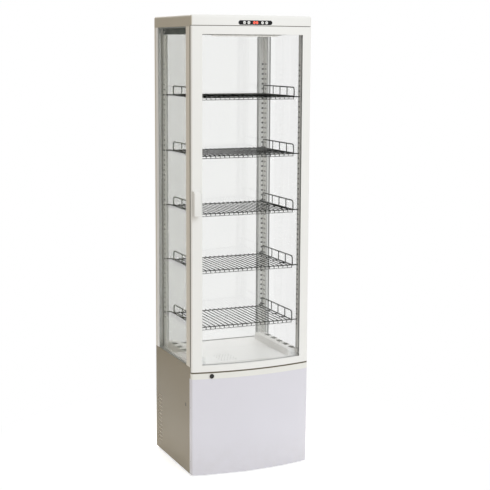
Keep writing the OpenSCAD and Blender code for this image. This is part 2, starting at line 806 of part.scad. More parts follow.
cover_x1 = -melt_x0 - 8;
cover_x0 = cover_x1 - 120;
cover_y0 = 50;
cover_y1 = 120;
cover_top = 110;
cover_wall = 3;

// Cover over the capacitor, relay and terminals, open below.
module electrical_box() color("lightgray") placed() difference() {
    slab(cover_x0, cover_x1, cover_y0, cover_y1, pan_t, cover_top);
    slab(cover_x0 + cover_wall, cover_x1 - cover_wall, cover_y0 + cover_wall, cover_y1 - cover_wall,
        pan_t - eps, cover_top - cover_wall);
}

inlet_x = 42.5 - half_w;
inlet_z = 45;
inlet_w = 32;
inlet_h = 26;
inlet_d = 22;
inlet_wall = 4;

module inlet_block(grow, past)
    slab(inlet_x - grow, inlet_x + inlet_w + grow, side_d - inlet_d - grow, side_d + past,
        inlet_z - grow, inlet_z + inlet_h + grow);

// Appliance inlet with its three flat pins, flush with the back.
module power_inlet() color("black") placed() {
    difference() {
        inlet_block(0, 0);
        slab(inlet_x + inlet_wall, inlet_x + inlet_w - inlet_wall,
            side_d - inlet_d + inlet_wall, side_d + eps,
            inlet_z + inlet_wall, inlet_z + inlet_h - inlet_wall);
    }
    for (p = [[9, 9], [21, 9], [15, 16]])
        slab(inlet_x + p[0], inlet_x + p[0] + 2, side_d - inlet_d + 3, side_d - 3,
            inlet_z + p[1], inlet_z + p[1] + 4);
}

// Screws of the side panels and of the front panel's returns.
module panel_screws() color("dimgray") placed() for (sx = [0, 1]) mirror([sx, 0, 0]) {
    screw_places() rotate([0, 90, 0]) cylinder(r = 2.3, h = sheet, center = true);
    for (z = [0.7 * base_h, 54])
        translate([panel_inner + sheet / 2, return_d - 10, z])
            rotate([0, 90, 0]) cylinder(r = 1.8, h = sheet, center = true);
}

// ---------- door ----------

// Pins on their plates, above and below the door.
module hinge_pins() color("silver") placed() {
    for (up = [0, 1])
        translate([0, 0, up * (header_z + strip_top)]) mirror([0, 0, up]) {
            intersection() {
                plan_slab(1, seal_y - 1, strip_top, strip_top + hinge_plate_t);
                slab(half_w - 30, half_w, -bow, seal_y, strip_top - eps, strip_top + 2 * hinge_plate_t);
            }
            rod_z(hinge_x, hinge_y, strip_top + hinge_plate_t - weld, door_z0 + pin_depth, pin_r);
        }
}

// Curved pocket that holds the door's two panes.
module door_pocket()
    band_slab(outer_pane_in - pocket_gap, pane_end + pocket_gap, opening_x + door_rebate + pocket_gap,
        opening_z0 - door_rebate - pocket_gap, opening_z1 + door_rebate + pocket_gap);

// White frame with a flat back, a bowed front and a bore for each hinge pin.
module door_frame() color("white") placed() difference() {
    plan_slab(0, door_back, door_z0, door_z1);
    slab(-opening_x, opening_x, -bow - 5, door_back + eps, opening_z0, opening_z1);
    door_pocket();
    for (z = [door_z0 - eps, door_z1 - pin_depth - 1])
        rod_z(hinge_x, hinge_y, z, z + pin_depth + 1 + eps, pin_r + running_gap);
    cam_slot(door_z0 - eps, lock_z + cam_len + 3);
}

module door_pane(inset)
    band_slab(inset, inset + pane_t, opening_x + door_rebate,
        opening_z0 - door_rebate, opening_z1 + door_rebate);

module door_glass_panes() color("lightcyan", 0.3) placed() {
    door_pane(outer_pane_in);
    door_pane(inner_pane_in);
}

// Curved spacer between the door's panes, hidden behind the frame.
module door_spacer() color("gray") placed() difference() {
    band_slab(outer_pane_in + pane_t + pocket_gap, inner_pane_in - pocket_gap, opening_x + door_rebate,
        opening_z0 - door_rebate, opening_z1 + door_rebate);
    slab(-opening_x - 2, opening_x + 2, -bow, door_back, opening_z0 - 2, opening_z1 + 2);
}

module door_gasket() color("lightgray") placed() difference() {
    slab(-gasket_x, gasket_x, door_back, seal_y - seat_gap, gasket_z0, gasket_z1);
    slab(gasket_w - gasket_x, gasket_x - gasket_w, door_back - eps, seal_y, gasket_z0 + gasket_w,
        gasket_z1 - gasket_w);
}

// Hollow pull with a slanted top. Fingers go behind it from the right.
module door_handle() color("white") placed() difference() {
    translate([0, 0, handle_mid - handle_h / 2]) intersection() {
        difference() {
            slab(-half_w + 1, -half_w + 1 + handle_w, -handle_front, door_back - 1, 0, handle_h);
            slab(-half_w + 1 + handle_wall, 0, handle_wall - handle_front, door_back, handle_wall,
                handle_h - 2 * handle_wall);
        }
        translate([-half_w, 0, 0]) rotate([90, 0, 90]) linear_extrude(handle_w + 5) polygon([
            [-handle_front, 0], [door_back, 0], [door_back, handle_h],
            [-handle_front + 12, handle_h], [-handle_front, handle_h - 8]
        ]);
    }
    plan_slab(0, door_back + eps, handle_mid - handle_h, handle_mid + handle_h);
}

// ---------- lock ----------

module lock_housing() color("silver") placed() difference() {
    union() {
        rod_y(lock_x, lock_y, lock_y + flange_t, lock_z, flange_r);
        rod_y(lock_x, lock_y + flange_t - weld, lock_y + housing_len, lock_z, housing_r);
    }
    rod_y(lock_x, lock_y - eps, lock_y + housing_len + eps, lock_z, plug_r + running_gap);
}

// Keyed plug with its cam, which lies along +X when the door is free.
module lock_barrel() color("black") placed() difference() {
    union() {
        rod_y(lock_x, lock_y + 0.4, cam_y + cam_t, lock_z, plug_r);
        slab(lock_x - 3, lock_x + cam_len, cam_y, cam_y + cam_t, lock_z - cam_w / 2, lock_z + cam_w / 2);
    }
    slab(lock_x - 0.8, lock_x + 0.8, lock_y, lock_y + 4, lock_z - 3.5, lock_z + 3.5);
}

base_pan();
base_left_panel();
base_right_panel();
base_front_panel();
base_rear_grille();
lock_strip();
levelling_feet();
insulated_deck();
floor_tray();
left_air_duct();
right_air_duct();
front_left_post();
front_right_post();
rear_left_post();
rear_right_post();
front_left_standard();
front_right_standard();
rear_left_standard();
rear_right_standard();
left_glass_panes();
right_glass_panes();
rear_glass_panes();
glazing_spacers();
header_shell();
ceiling_panel();
ceiling_lamp();
lamp_lens();
control_panel();
display_window();
set_button();
down_button();
up_button();
light_button();
shelf_1();
shelf_2();
shelf_3();
shelf_4();
shelf_5();
compressor();
compressor_mounts();
condenser_coil();
condenser_shroud();
condenser_motor();
condenser_fan();
evaporator_coil();
evaporator_motor();
evaporator_fan();
evaporation_tray();
refrigerant_pipes();
electrical_box();
power_inlet();
panel_screws();
hinge_pins();
door_frame();
door_glass_panes();
door_spacer();
door_gasket();
door_handle();
lock_housing();
lock_barrel();
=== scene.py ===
import math

import bmesh
import bpy
from mathutils import Matrix, Vector


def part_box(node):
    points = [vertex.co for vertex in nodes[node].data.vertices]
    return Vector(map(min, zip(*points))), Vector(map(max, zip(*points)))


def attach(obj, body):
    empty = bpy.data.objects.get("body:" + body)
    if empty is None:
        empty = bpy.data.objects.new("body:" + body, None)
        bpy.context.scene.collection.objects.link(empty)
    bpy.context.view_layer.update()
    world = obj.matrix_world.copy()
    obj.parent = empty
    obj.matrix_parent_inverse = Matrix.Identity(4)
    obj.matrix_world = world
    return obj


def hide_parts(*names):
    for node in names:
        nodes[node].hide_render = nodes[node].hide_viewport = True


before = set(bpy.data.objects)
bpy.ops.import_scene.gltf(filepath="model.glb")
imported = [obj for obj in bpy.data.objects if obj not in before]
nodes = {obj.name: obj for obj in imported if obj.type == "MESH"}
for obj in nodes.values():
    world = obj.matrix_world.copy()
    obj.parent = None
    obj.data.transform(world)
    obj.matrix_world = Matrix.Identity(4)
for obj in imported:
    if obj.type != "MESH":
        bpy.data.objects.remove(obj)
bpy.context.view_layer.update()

scene = bpy.context.scene
scene.view_settings.view_transform = "Standard"

# ---------------------------------------------------------------- studio
# The cabinet stands on a plain pale floor under two soft lamps. The camera is to the left of
# the door, a little above the top shelf, and looks slightly down.

camera = bpy.data.objects.new("camera", bpy.data.cameras.new("camera"))
scene.collection.objects.link(camera)
camera.data.lens = 90.58
camera.data.shift_y = -0.028
camera.location = (-1.970, -4.693, 1.723)
level, turned_right, tilt = (math.radians(v) for v in (81.58, -23.37, 0.29))
aim = Matrix.Rotation(turned_right, 3, "Z") @ Matrix.Rotation(level, 3, "X") @ Matrix.Rotation(tilt, 3, "Z")
camera.rotation_euler = aim.to_euler()
scene.camera = camera


def shader(tree, kind, inputs=(), **settings):
    """Adds a shader node with its settings. Each input is given a value or another node's output."""
    made = tree.nodes.new(kind)
    for name, value in settings.items():
        setattr(made, name, value)
    for name, value in dict(inputs).items():
        if isinstance(value, bpy.types.NodeSocket):
            tree.links.new(value, made.inputs[name])
        else:
            made.inputs[name].default_value = value
    return made


def calc(tree, operation, *values):
    """A sum on one, two or three values or outputs."""
    return shader(tree, "ShaderNodeMath", enumerate(values), operation=operation).outputs[0]


def ramp(tree, value, taken=(0, 1), given=(0, 1), kind="LINEAR"):
    """Turns one range of a value into another, and holds it at the ends."""
    ends = {"Value": value, "From Min": taken[0], "From Max": taken[1], "To Min": given[0], "To Max": given[1]}
    return shader(tree, "ShaderNodeMapRange", ends, interpolation_type=kind).outputs["Result"]


def seen_by_eye(tree):
    """1 for what the camera sees, straight on or by way of metal and glass. 0 for the light that
    falls on things."""
    path = tree.nodes.new("ShaderNodeLightPath").outputs
    either = calc(tree, "MAXIMUM", path["Is Camera Ray"], path["Is Glossy Ray"])
    return calc(tree, "MAXIMUM", either, path["Is Transmission Ray"])


scene.world = bpy.data.worlds.new("studio_air")
scene.world.use_nodes = True
air = scene.world.node_tree
air.nodes.clear()
soft_fill = shader(air, "ShaderNodeBackground", {"Color": (1.0, 0.94, 0.85, 1), "Strength": 0.62})
white_wall = shader(air, "ShaderNodeBackground", {"Color": (1, 1, 1, 1), "Strength": 1.0})
fills = {0: seen_by_eye(air), 1: soft_fill.outputs[0], 2: white_wall.outputs[0]}
shader(air, "ShaderNodeOutputWorld", {"Surface": shader(air, "ShaderNodeMixShader", fills).outputs[0]})


def studio_sheet(name, stand):
    """A flat sheet, two metres square before its matrix. Returns it and its paint's node tree."""
    grid = bmesh.new()
    bmesh.ops.create_grid(grid, x_segments=2, y_segments=2, size=1, matrix=stand)
    mesh = bpy.data.meshes.new(name)
    grid.to_mesh(mesh)
    grid.free()
    paint = bpy.data.materials.new(name + "_paint")
    paint.use_nodes = True
    mesh.materials.append(paint)
    sheet = bpy.data.objects.new(name, mesh)
    scene.collection.objects.link(sheet)
    return sheet, paint.node_tree


# The floor keeps the cabinet's shadow near by, and turns to plain white farther off.
studio_floor, tree = studio_sheet("studio_floor", Matrix.Diagonal((1.3, 1.3, 1, 1)))
tree.nodes.clear()
place = tree.nodes.new("ShaderNodeTexCoord").outputs["Object"]
away = shader(tree, "ShaderNodeVectorMath", {0: place}, operation="LENGTH").outputs["Value"]
far_off = ramp(tree, away, taken=(0.35, 1.1), kind="SMOOTHSTEP")
far_seen = calc(tree, "MULTIPLY", far_off, seen_by_eye(tree))
pale = shader(tree, "ShaderNodeBsdfDiffuse", {"Color": (0.9, 0.9, 0.9, 1)})
lift = calc(tree, "MULTIPLY", seen_by_eye(tree), 0.52)
near_glow = shader(tree, "ShaderNodeEmission", {"Color": (1, 1, 1, 1), "Strength": lift})
near_skin = shader(tree, "ShaderNodeAddShader", {0: pale.outputs[0], 1: near_glow.outputs[0]})
far_skin = shader(tree, "ShaderNodeEmission", {"Color": (1, 1, 1, 1), "Strength": 1.0})
skins = {0: far_seen, 1: near_skin.outputs[0], 2: far_skin.outputs[0]}
shader(tree, "ShaderNodeOutputMaterial", {"Surface": shader(tree, "ShaderNodeMixShader", skins).outputs[0]})


def soft_lamp(name, at, aim, size, watts, tint):
    """A square softbox that faces a point, too far off to be mirrored in the glass."""
    lamp = bpy.data.objects.new(name, bpy.data.lights.new(name, "AREA"))
    scene.collection.objects.link(lamp)
    lamp.data.size = size
    lamp.data.energy = watts
    lamp.data.color = tint
    lamp.visible_camera = False
    lamp.visible_transmission = False
    lamp.visible_glossy = False
    lamp.location = at
    lamp.rotation_euler = (Vector(aim) - Vector(at)).to_track_quat("-Z", "Y").to_euler()


soft_lamp("key_softbox", at=(0.7, -5.1, 4.6), aim=(0, 0, 0.85), size=3.4, watts=190, tint=(0.86, 0.935, 1.0))
soft_lamp("back_softbox", at=(0.9, 3.4, 3.3), aim=(0, 0, 0.7), size=2.6, watts=138, tint=(1.0, 1.0, 1.0))

# A grey card stands behind on the left, out of sight. The left glass mirrors it and the left side
# loses some light to it.
upright = Matrix.Rotation(math.radians(21), 4, "Z") @ Matrix.Rotation(math.radians(90), 4, "X")
stand = Matrix.Translation((-1.0, 1.75, 1.15)) @ upright @ Matrix.Diagonal((0.62, 1.15, 1, 1))
grey_card, tree = studio_sheet("grey_card", stand)
grey_card.visible_camera = False
grey_card.visible_transmission = False
grey_card.visible_shadow = False
tree.nodes["Principled BSDF"].inputs["Base Color"].default_value = (0.13, 0.13, 0.12, 1)
tree.nodes["Principled BSDF"].inputs["Roughness"].default_value = 1.0

# ---------------------------------------------------------------- base pan and feet
# The cabinet is built up from a shallow pan of galvanised sheet. Four screwed feet carry it,
# each a rubber pad on a zinc-plated stud with its lock nut against the pan.


def start_group(name, takes, gives):
    """An empty node group with its sockets. Returns the tree, its inputs and its output node."""
    tree = bpy.data.node_groups.new(name, "ShaderNodeTree")
    for label, kind, value in takes:
        tree.interface.new_socket(label, in_out="INPUT", socket_type="NodeSocket" + kind).default_value = value
    for label, kind in gives:
        tree.interface.new_socket(label, in_out="OUTPUT", socket_type="NodeSocket" + kind)
    return tree, tree.nodes.new("NodeGroupInput").outputs, tree.nodes.new("NodeGroupOutput")


def group_out(tree, out, **sockets):
    """Links the values that a group gives to its output node."""
    for name, socket in sockets.items():
        tree.links.new(socket, out.inputs[name])


def noise(tree, place, scale, detail):
    """A cloudy pattern about a half."""
    return shader(tree, "ShaderNodeTexNoise", {"Vector": place, "Scale": scale, "Detail": detail}).outputs["Fac"]


def scaled(tree, colour, tone):
    """A colour made lighter or darker by a factor."""
    return shader(tree, "ShaderNodeVectorMath", {0: colour, "Scale": tone}, operation="SCALE").outputs["Vector"]


# Slow drift of tone and gloss over a large surface.
drift, takes, out = start_group(
    "tone_drift",
    [("Vector", "Vector", (0, 0, 0)), ("Color", "Color", (0.8, 0.8, 0.8, 1)), ("Amount", "Float", 0.05),
     ("Size", "Float", 4.0), ("Roughness", "Float", 0.4), ("Gloss Amount", "Float", 0.06)],
    [("Color", "Color"), ("Roughness", "Float")],
)
centred = calc(drift, "SUBTRACT", noise(drift, takes["Vector"], takes["Size"], 3.0), 0.5)
tone = calc(drift, "MULTIPLY_ADD", centred, takes["Amount"], 1.0)
gloss = calc(drift, "MULTIPLY_ADD", centred, takes["Gloss Amount"], takes["Roughness"])
group_out(drift, out, Color=scaled(drift, takes["Color"], tone), Roughness=gloss)

# Frost-like crystals of hot-dip zinc.
spangle, takes, out = start_group(
    "zinc_spangle",
    [("Vector", "Vector", (0, 0, 0)), ("Color", "Color", (0.6, 0.61, 0.62, 1)), ("Size", "Float", 90.0)],
    [("Color", "Color"), ("Roughness", "Float"), ("Height", "Float")],
)
wavy = shader(spangle, "ShaderNodeTexNoise", {"Vector": takes["Vector"], "Scale": 60.0, "Detail": 2.0})
warp = {0: wavy.outputs["Color"], 1: (0.008, 0.008, 0.008), 2: takes["Vector"]}
warped = shader(spangle, "ShaderNodeVectorMath", warp, operation="MULTIPLY_ADD").outputs[0]
crystal = shader(spangle, "ShaderNodeTexVoronoi", {"Vector": warped, "Scale": takes["Size"]})
shade = shader(spangle, "ShaderNodeSeparateColor", {0: crystal.outputs["Color"]}).outputs[0]
tone = ramp(spangle, shade, given=(0.78, 1.12))
gloss = ramp(spangle, shade, given=(0.28, 0.5))
group_out(spangle, out, Color=scaled(spangle, takes["Color"], tone), Roughness=gloss, Height=shade)


def start_finish(name):
    """A material with its node tree, its Principled shader and the piece's Object coordinates."""
    finish = bpy.data.materials.new(name)
    finish.use_nodes = True
    tree = finish.node_tree
    return finish, tree, tree.nodes["Principled BSDF"], tree.nodes.new("ShaderNodeTexCoord").outputs["Object"]


def dress(tree, skin, group, inputs):
    """Lays the colour and the gloss of a group on a skin. Returns all that the group gives."""
    laid = shader(tree, "ShaderNodeGroup", inputs, node_tree=group).outputs
    tree.links.new(laid["Color"], skin.inputs["Base Color"])
    tree.links.new(laid["Roughness"], skin.inputs["Roughness"])
    return laid


def clouded_finish(name, colour, amount, size, roughness, gloss, metallic=0.0):
    """A material whose tone and gloss drift slowly."""
    finish, tree, skin, place = start_finish(name)
    dress(tree, skin, drift, {"Vector": place, "Color": colour, "Amount": amount, "Size": size,
                              "Roughness": roughness, "Gloss Amount": gloss})
    skin.inputs["Metallic"].default_value = metallic
    return finish, tree, skin, place


def raise_skin(tree, skin, height, depth):
    """Turns a height pattern into a bump, depth metres deep."""
    bump = shader(tree, "ShaderNodeBump", {"Height": height, "Strength": 1.0, "Distance": depth})
    tree.links.new(bump.outputs["Normal"], skin.inputs["Normal"])


zinc_sheet, tree, skin, place = start_finish("zinc_sheet")
zinc = dress(tree, skin, spangle, {"Vector": place, "Color": (0.58, 0.59, 0.6, 1), "Size": 85.0})
skin.inputs["Metallic"].default_value = 1.0
raise_skin(tree, skin, zinc["Height"], depth=0.00004)
black_rubber, tree, skin, place = clouded_finish(
    "black_rubber", (0.02, 0.02, 0.02, 1), amount=0.7, size=40.0, roughness=0.72, gloss=0.2)
raise_skin(tree, skin, noise(tree, place, scale=900.0, detail=2.0), depth=0.00012)
screw_zinc = clouded_finish(
    "screw_zinc", (0.38, 0.37, 0.35, 1), amount=0.5, size=260.0, roughness=0.36, gloss=0.3, metallic=1.0)[0]


def finish_node(finish, *names):
    """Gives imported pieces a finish."""
    for name in names:
        for held in nodes[name].material_slots:
            held.link = "OBJECT"
            held.material = finish


def new_piece(name, shape, body, slot, *finishes, sharp=35):
    """Turns a bmesh into a piece that rides on a body, with smooth faces up to an angle."""
    mesh = bpy.data.meshes.new(name)
    bmesh.ops.recalc_face_normals(shape, faces=shape.faces)
    shape.to_mesh(mesh)
    shape.free()
    mesh.shade_smooth()
    mesh.set_sharp_from_angle(angle=math.radians(sharp))
    for finish in finishes:
        mesh.materials.append(finish)
    piece = bpy.data.objects.new(name, mesh)
    scene.collection.objects.link(piece)
    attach(piece, body)
    return piece


def turned(shape, outline, at, axis, steps=32):
    """Spins an outline of (radius, height) points about an axis through a point, as a lathe does."""
    along = Vector(axis).normalized()
    out = along.orthogonal().normalized()
    ring = [shape.verts.new(Vector(at) + out * r + along * h) for r, h in outline]
    edges = [shape.edges.new(pair) for pair in zip(ring, ring[1:])]
    bmesh.ops.spin(shape, geom=ring + edges, cent=at, axis=along, angle=math.tau, steps=steps, use_merge=True)
    bmesh.ops.remove_doubles(shape, verts=shape.verts, dist=1e-6)


def bar(shape, sides, radius, long, stand):
    """A straight bar with flat sides. Returns its corners."""
    return bmesh.ops.create_cone(shape, cap_ends=True, segments=sides, radius1=radius, radius2=radius,
                                 depth=long, matrix=stand)["verts"]


def rounded(shape, edges, offset, segments=2, clamp=False):
    """Rounds off some edges."""
    bmesh.ops.bevel(shape, geom=list(edges), offset=offset, segments=segments, profile=0.5, affect="EDGES",
                    clamp_overlap=clamp, material=-1)


finish_node(zinc_sheet, "base_pan")
foot_spots = [(side * 0.2125, y) for side in (-1, 1) for y in (-0.154, 0.186)]
pads = bmesh.new()
pad_edge = [(0, 0), (0.0145, 0), (0.016, 0.0012), (0.016, 0.0032), (0.0146, 0.0048), (0, 0.005)]
for x, y in foot_spots:
    turned(pads, pad_edge, (x, y, 0), (0, 0, 1))
pads = new_piece("foot_pads", pads, "cabinet", "black_rubber", black_rubber)
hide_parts("levelling_feet")
studs = bmesh.new()
thread_foot, thread_pitch = 0.0045, 0.0008
thread = [(0.0046 if i % 2 else 0.005, thread_foot + thread_pitch * i) for i in range(31)]
thread = [(0, thread_foot)] + thread + [(0, 0.0292)]
for x, y in foot_spots:
    nut = bar(studs, sides=6, radius=0.009, long=0.003, stand=Matrix.Translation((x, y, 0.0064)))
    rim = {e for v in nut for e in v.link_edges if abs(e.verts[0].co.z - e.verts[1].co.z) < 1e-5}
    rounded(studs, rim, 0.0006)
    turned(studs, thread, (x, y, 0), (0, 0, 1), steps=20)
studs = new_piece("foot_studs", studs, "cabinet", "screw_zinc", screw_zinc)
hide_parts("levelling_feet")

# ---------------------------------------------------------------- cooling machine
# A hermetic compressor stands on rubber mounts on the pan. Beside it are the finned condenser
# with its fan behind a wire guard, the melt-water tray, the pipework and the wiring cover.

compressor_paint, tree, skin, place = clouded_finish(
    "compressor_paint", (0.012, 0.012, 0.013, 1), amount=0.8, size=18.0, roughness=0.3, gloss=0.25)
skin.inputs["Coat Weight"].default_value = 0.3
raise_skin(tree, skin, noise(tree, place, scale=220.0, detail=1.0), depth=0.0002)

# Rolled or drawn metal, with fine lines along one direction.
drawn, takes, out = start_group(
    "drawn_lines",
    [("Vector", "Vector", (0, 0, 0)), ("Stretch", "Vector", (900, 900, 8)), ("Color", "Color", (0.6, 0.6, 0.6, 1)),
     ("Amount", "Float", 0.15), ("Roughness", "Float", 0.35)],
    [("Color", "Color"), ("Roughness", "Float"), ("Height", "Float")],
)
pull = {0: takes["Vector"], 1: takes["Stretch"]}
pulled = shader(drawn, "ShaderNodeVectorMath", pull, operation="MULTIPLY").outputs[0]
lines = noise(drawn, pulled, scale=1.0, detail=3.0)
centred = calc(drawn, "SUBTRACT", lines, 0.5)
tone = calc(drawn, "MULTIPLY_ADD", centred, takes["Amount"], 1.0)
gloss = calc(drawn, "MULTIPLY_ADD", centred, 0.25, takes["Roughness"])
group_out(drawn, out, Color=scaled(drawn, takes["Color"], tone), Roughness=gloss, Height=lines)


def metal_finish(name, colour, stretch, amount, roughness, depth):
    """A bare metal with fine lines along its length."""
    finish, tree, skin, place = start_finish(name)
    worked = dress(tree, skin, drawn, {"Vector": place, "Stretch": stretch, "Color": colour,
                                       "Amount": amount, "Roughness": roughness})
    skin.inputs["Metallic"].default_value = 1.0
    raise_skin(tree, skin, worked["Height"], depth)
    return finish


def blend(tree, share, under, over):
    """One colour over another, by a share from 0 to 1."""
    return shader(tree, "ShaderNodeMix", {0: share, 6: under, 7: over}, data_type="RGBA").outputs[2]


def plastic_finish(name, colour, roughness, grain, coat=0.0):
    """Moulded plastic: a fine spark-eroded grain over a slow drift of tone."""
    finish, tree, skin, place = clouded_finish(name, colour, amount=0.06, size=5.0, roughness=roughness, gloss=0.12)
    skin.inputs["Coat Weight"].default_value = coat
    raise_skin(tree, skin, noise(tree, place, scale=1400.0, detail=2.0), grain)
    return finish


fin_metal = metal_finish(
    "fin_metal", (0.55, 0.56, 0.57, 1), stretch=(700, 700, 25), amount=0.4, roughness=0.36, depth=0.00003)
copper_pipe, tree, skin, place = start_finish("copper_pipe")
spots = noise(tree, place, scale=55.0, detail=4.0)
tarnish = ramp(tree, spots, taken=(0.42, 0.62), kind="SMOOTHSTEP")
tree.links.new(blend(tree, tarnish, (0.72, 0.36, 0.2, 1), (0.3, 0.14, 0.09, 1)), skin.inputs["Base Color"])
tree.links.new(ramp(tree, spots, given=(0.22, 0.55)), skin.inputs["Roughness"])
skin.inputs["Metallic"].default_value = 1.0
fan_plastic = plastic_finish("fan_plastic", (0.09, 0.095, 0.1, 1), roughness=0.5, grain=0.00006)
tray_plastic = plastic_finish("tray_plastic", (0.02, 0.02, 0.022, 1), roughness=0.42, grain=0.00008)
cover_plastic = plastic_finish("cover_plastic", (0.62, 0.62, 0.61, 1), roughness=0.5, grain=0.00006)

finish_node(compressor_paint, "compressor", "condenser_motor", "evaporator_motor")
finish_node(black_rubber, "compressor_mounts")
finish_node(fin_metal, "condenser_coil", "evaporator_coil")
finish_node(zinc_sheet, "condenser_shroud")
finish_node(fan_plastic, "condenser_fan", "evaporator_fan")
finish_node(tray_plastic, "evaporation_tray", "power_inlet")
finish_node(copper_pipe, "refrigerant_pipes")
finish_node(cover_plastic, "electrical_box")

seam = bmesh.new()
seam_edge = [(0.0672, 0.086), (0.0705, 0.0866), (0.0712, 0.0885), (0.0705, 0.0904), (0.0672, 0.091)]
turned(seam, seam_edge, (-0.13, 0.056, 0.022), (0, 0, 1), steps=64)
new_piece("compressor_seam", seam, "cabinet", "compressor_black", compressor_paint)

guard = bmesh.new()
fan_centre, guard_wire = (0.095, 0.1535, 0.15), 0.0011
for hoop in (0.024, 0.04, 0.056, 0.072, 0.088):
    turns = (i * math.tau / 8 for i in range(9))
    wire_edge = [(hoop + guard_wire * math.cos(a), guard_wire * math.sin(a)) for a in turns]
    turned(guard, wire_edge, fan_centre, (0, 1, 0), steps=48)
for i in range(4):
    spoke = Matrix.Translation(fan_centre) @ Matrix.Rotation(math.radians(22.5 + 45 * i), 4, "Y")
    bar(guard, sides=8, radius=0.0013, long=0.188, stand=spoke)
new_piece("fan_guard", guard, "cabinet", "chrome_wire", fin_metal)

# ---------------------------------------------------------------- base panels
# Folded sheet steel, powder coated. The front panel is bowed and cooler in tone. The side and rear panels take a
# dark warm beige, far darker than the pale front: painted shade of the faces turned from the lamp.
# The side and rear panels have pressed louvres, whose lips lean inward behind each slot.

# Powder coat: slow drift of tone, orange peel, and a film of dust that thickens near the floor.
coat, takes, out = start_group(
    "powder_coat",
    [("Vector", "Vector", (0, 0, 0)), ("Color", "Color", (0.8, 0.8, 0.8, 1)), ("Roughness", "Float", 0.38),
     ("Peel", "Float", 420.0), ("Dust", "Float", 0.2), ("Dust Color", "Color", (0.42, 0.38, 0.32, 1))],
    [("Color", "Color"), ("Roughness", "Float"), ("Height", "Float")],
)
sprayed = {"Vector": takes["Vector"], "Color": takes["Color"], "Amount": 0.07, "Size": 3.5,
           "Roughness": takes["Roughness"], "Gloss Amount": 0.1}
sprayed = shader(coat, "ShaderNodeGroup", sprayed, node_tree=drift).outputs
height = shader(coat, "ShaderNodeSeparateXYZ", {0: takes["Vector"]}).outputs["Z"]
low = ramp(coat, height, taken=(0.2, 0.0), kind="SMOOTHSTEP")
film = calc(coat, "MULTIPLY", low, noise(coat, takes["Vector"], scale=26.0, detail=5.0))
film = calc(coat, "MULTIPLY", film, takes["Dust"])
dusted = blend(coat, film, sprayed["Color"], takes["Dust Color"])
duller = calc(coat, "MULTIPLY_ADD", film, 0.6, sprayed["Roughness"])
peel = noise(coat, takes["Vector"], takes["Peel"], 1.0)
group_out(coat, out, Color=dusted, Roughness=duller, Height=peel)


def paint_finish(name, colour, roughness, dust, peel=420.0):
    """Powder-coated sheet steel."""
    finish, tree, skin, place = start_finish(name)
    sprayed = dress(tree, skin, coat, {"Vector": place, "Color": colour, "Roughness": roughness,
                                       "Peel": peel, "Dust": dust})
    raise_skin(tree, skin, sprayed["Height"], depth=0.00008)
    return finish


def finish_parts(finish):
    """The node tree of a finish, its skin and its Object coordinates."""
    tree = finish.node_tree
    skin = next(n for n in tree.nodes if n.type == "BSDF_PRINCIPLED")
    return tree, skin, next(n for n in tree.nodes if n.type == "TEX_COORD").outputs["Object"]


def paint_over(tree, skin, share, colour):
    """Puts a second colour over a share of a skin."""
    under = skin.inputs["Base Color"].links[0].from_socket
    tree.links.new(blend(tree, share, under, colour), skin.inputs["Base Color"])


front_paint = paint_finish("front_paint", (0.72, 0.71, 0.775, 1), roughness=0.36, dust=0.25)
# Painted shade: the sides' paint is a darkened copy of the pale panel paint.
side_paint = paint_finish("side_paint", (0.283, 0.240, 0.166, 1), roughness=0.42, dust=0.35)
# Painted light: the side lips take a far lighter copy of the side paint, so that they read pale in their shade.
lit_lip_paint = paint_finish("lit_lip_paint", (0.82, 0.77, 0.67, 1), roughness=0.42, dust=0.1)
finish_node(front_paint, "base_front_panel")
finish_node(side_paint, "base_left_panel", "base_right_panel", "base_rear_grille")

# A dark disc is painted round the upper screw of each side, and two smaller ones round the screws by
# the front: painted shade of shallow pressed dimples.
tree, skin, place = finish_parts(side_paint)
along = shader(tree, "ShaderNodeSeparateXYZ", {0: place}).outputs
spot = shader(tree, "ShaderNodeCombineXYZ", {1: along["Y"], 2: along["Z"]}).outputs[0]
painted_dimple_shade = 0.0
for y, z, edge in ((-0.129, 0.288, (0.0065, 0.0085)), (-0.184, 0.288, (0.0035, 0.0050)),
                   (-0.184, 0.062, (0.0035, 0.0050))):
    away = shader(tree, "ShaderNodeVectorMath", {0: spot, 1: (0, y, z)}, operation="DISTANCE").outputs["Value"]
    painted_dimple_shade = calc(tree, "MAXIMUM", painted_dimple_shade, ramp(tree, away, taken=edge, given=(1, 0)))
paint_over(tree, skin, painted_dimple_shade, (0.10, 0.085, 0.06, 1))


def louvre_lip(shape, foot, along, inward, long, high):
    """One pressed lip: a thin strip that rises from the slot's lower edge and leans inward."""
    lip = bmesh.ops.create_cube(shape, size=1)["verts"]
    along, inward = Vector(along), Vector(inward)
    thick, lean, sink = 0.0009, 0.0028, 0.0008
    for v in lip:
        side, deep, up = v.co
        up += 0.5
        inside = inward * (thick * (deep + 0.5) + lean * up)
        v.co = Vector(foot) + along * side * long + inside + Vector((0, 0, high * up - sink))
    ends = {e for v in lip for e in v.link_edges}
    rounded(shape, [e for e in ends if abs((e.verts[0].co - e.verts[1].co).dot(along)) > long / 2], 0.0003)


louvres, louvre_pitch = 13, 0.0164
for name, side in (("left_louvre_lips", -1), ("right_louvre_lips", 1)):
    lips = bmesh.new()
    for i in range(louvres):
        foot = (side * 0.2563, 0.183, 0.046 + louvre_pitch * i)
        louvre_lip(lips, foot, (0, 1, 0), (-side, 0, 0), long=0.0458, high=0.009)
    new_piece(name, lips, "cabinet", "side_paint", lit_lip_paint)
lips = bmesh.new()
for x in (-0.07, 0.12):
    for i in range(louvres):
        louvre_lip(lips, (x, 0.2298, 0.098 + louvre_pitch * i), (1, 0, 0), (0, -1, 0), long=0.1598, high=0.0125)
new_piece("rear_louvre_lips", lips, "cabinet", "side_paint", side_paint)
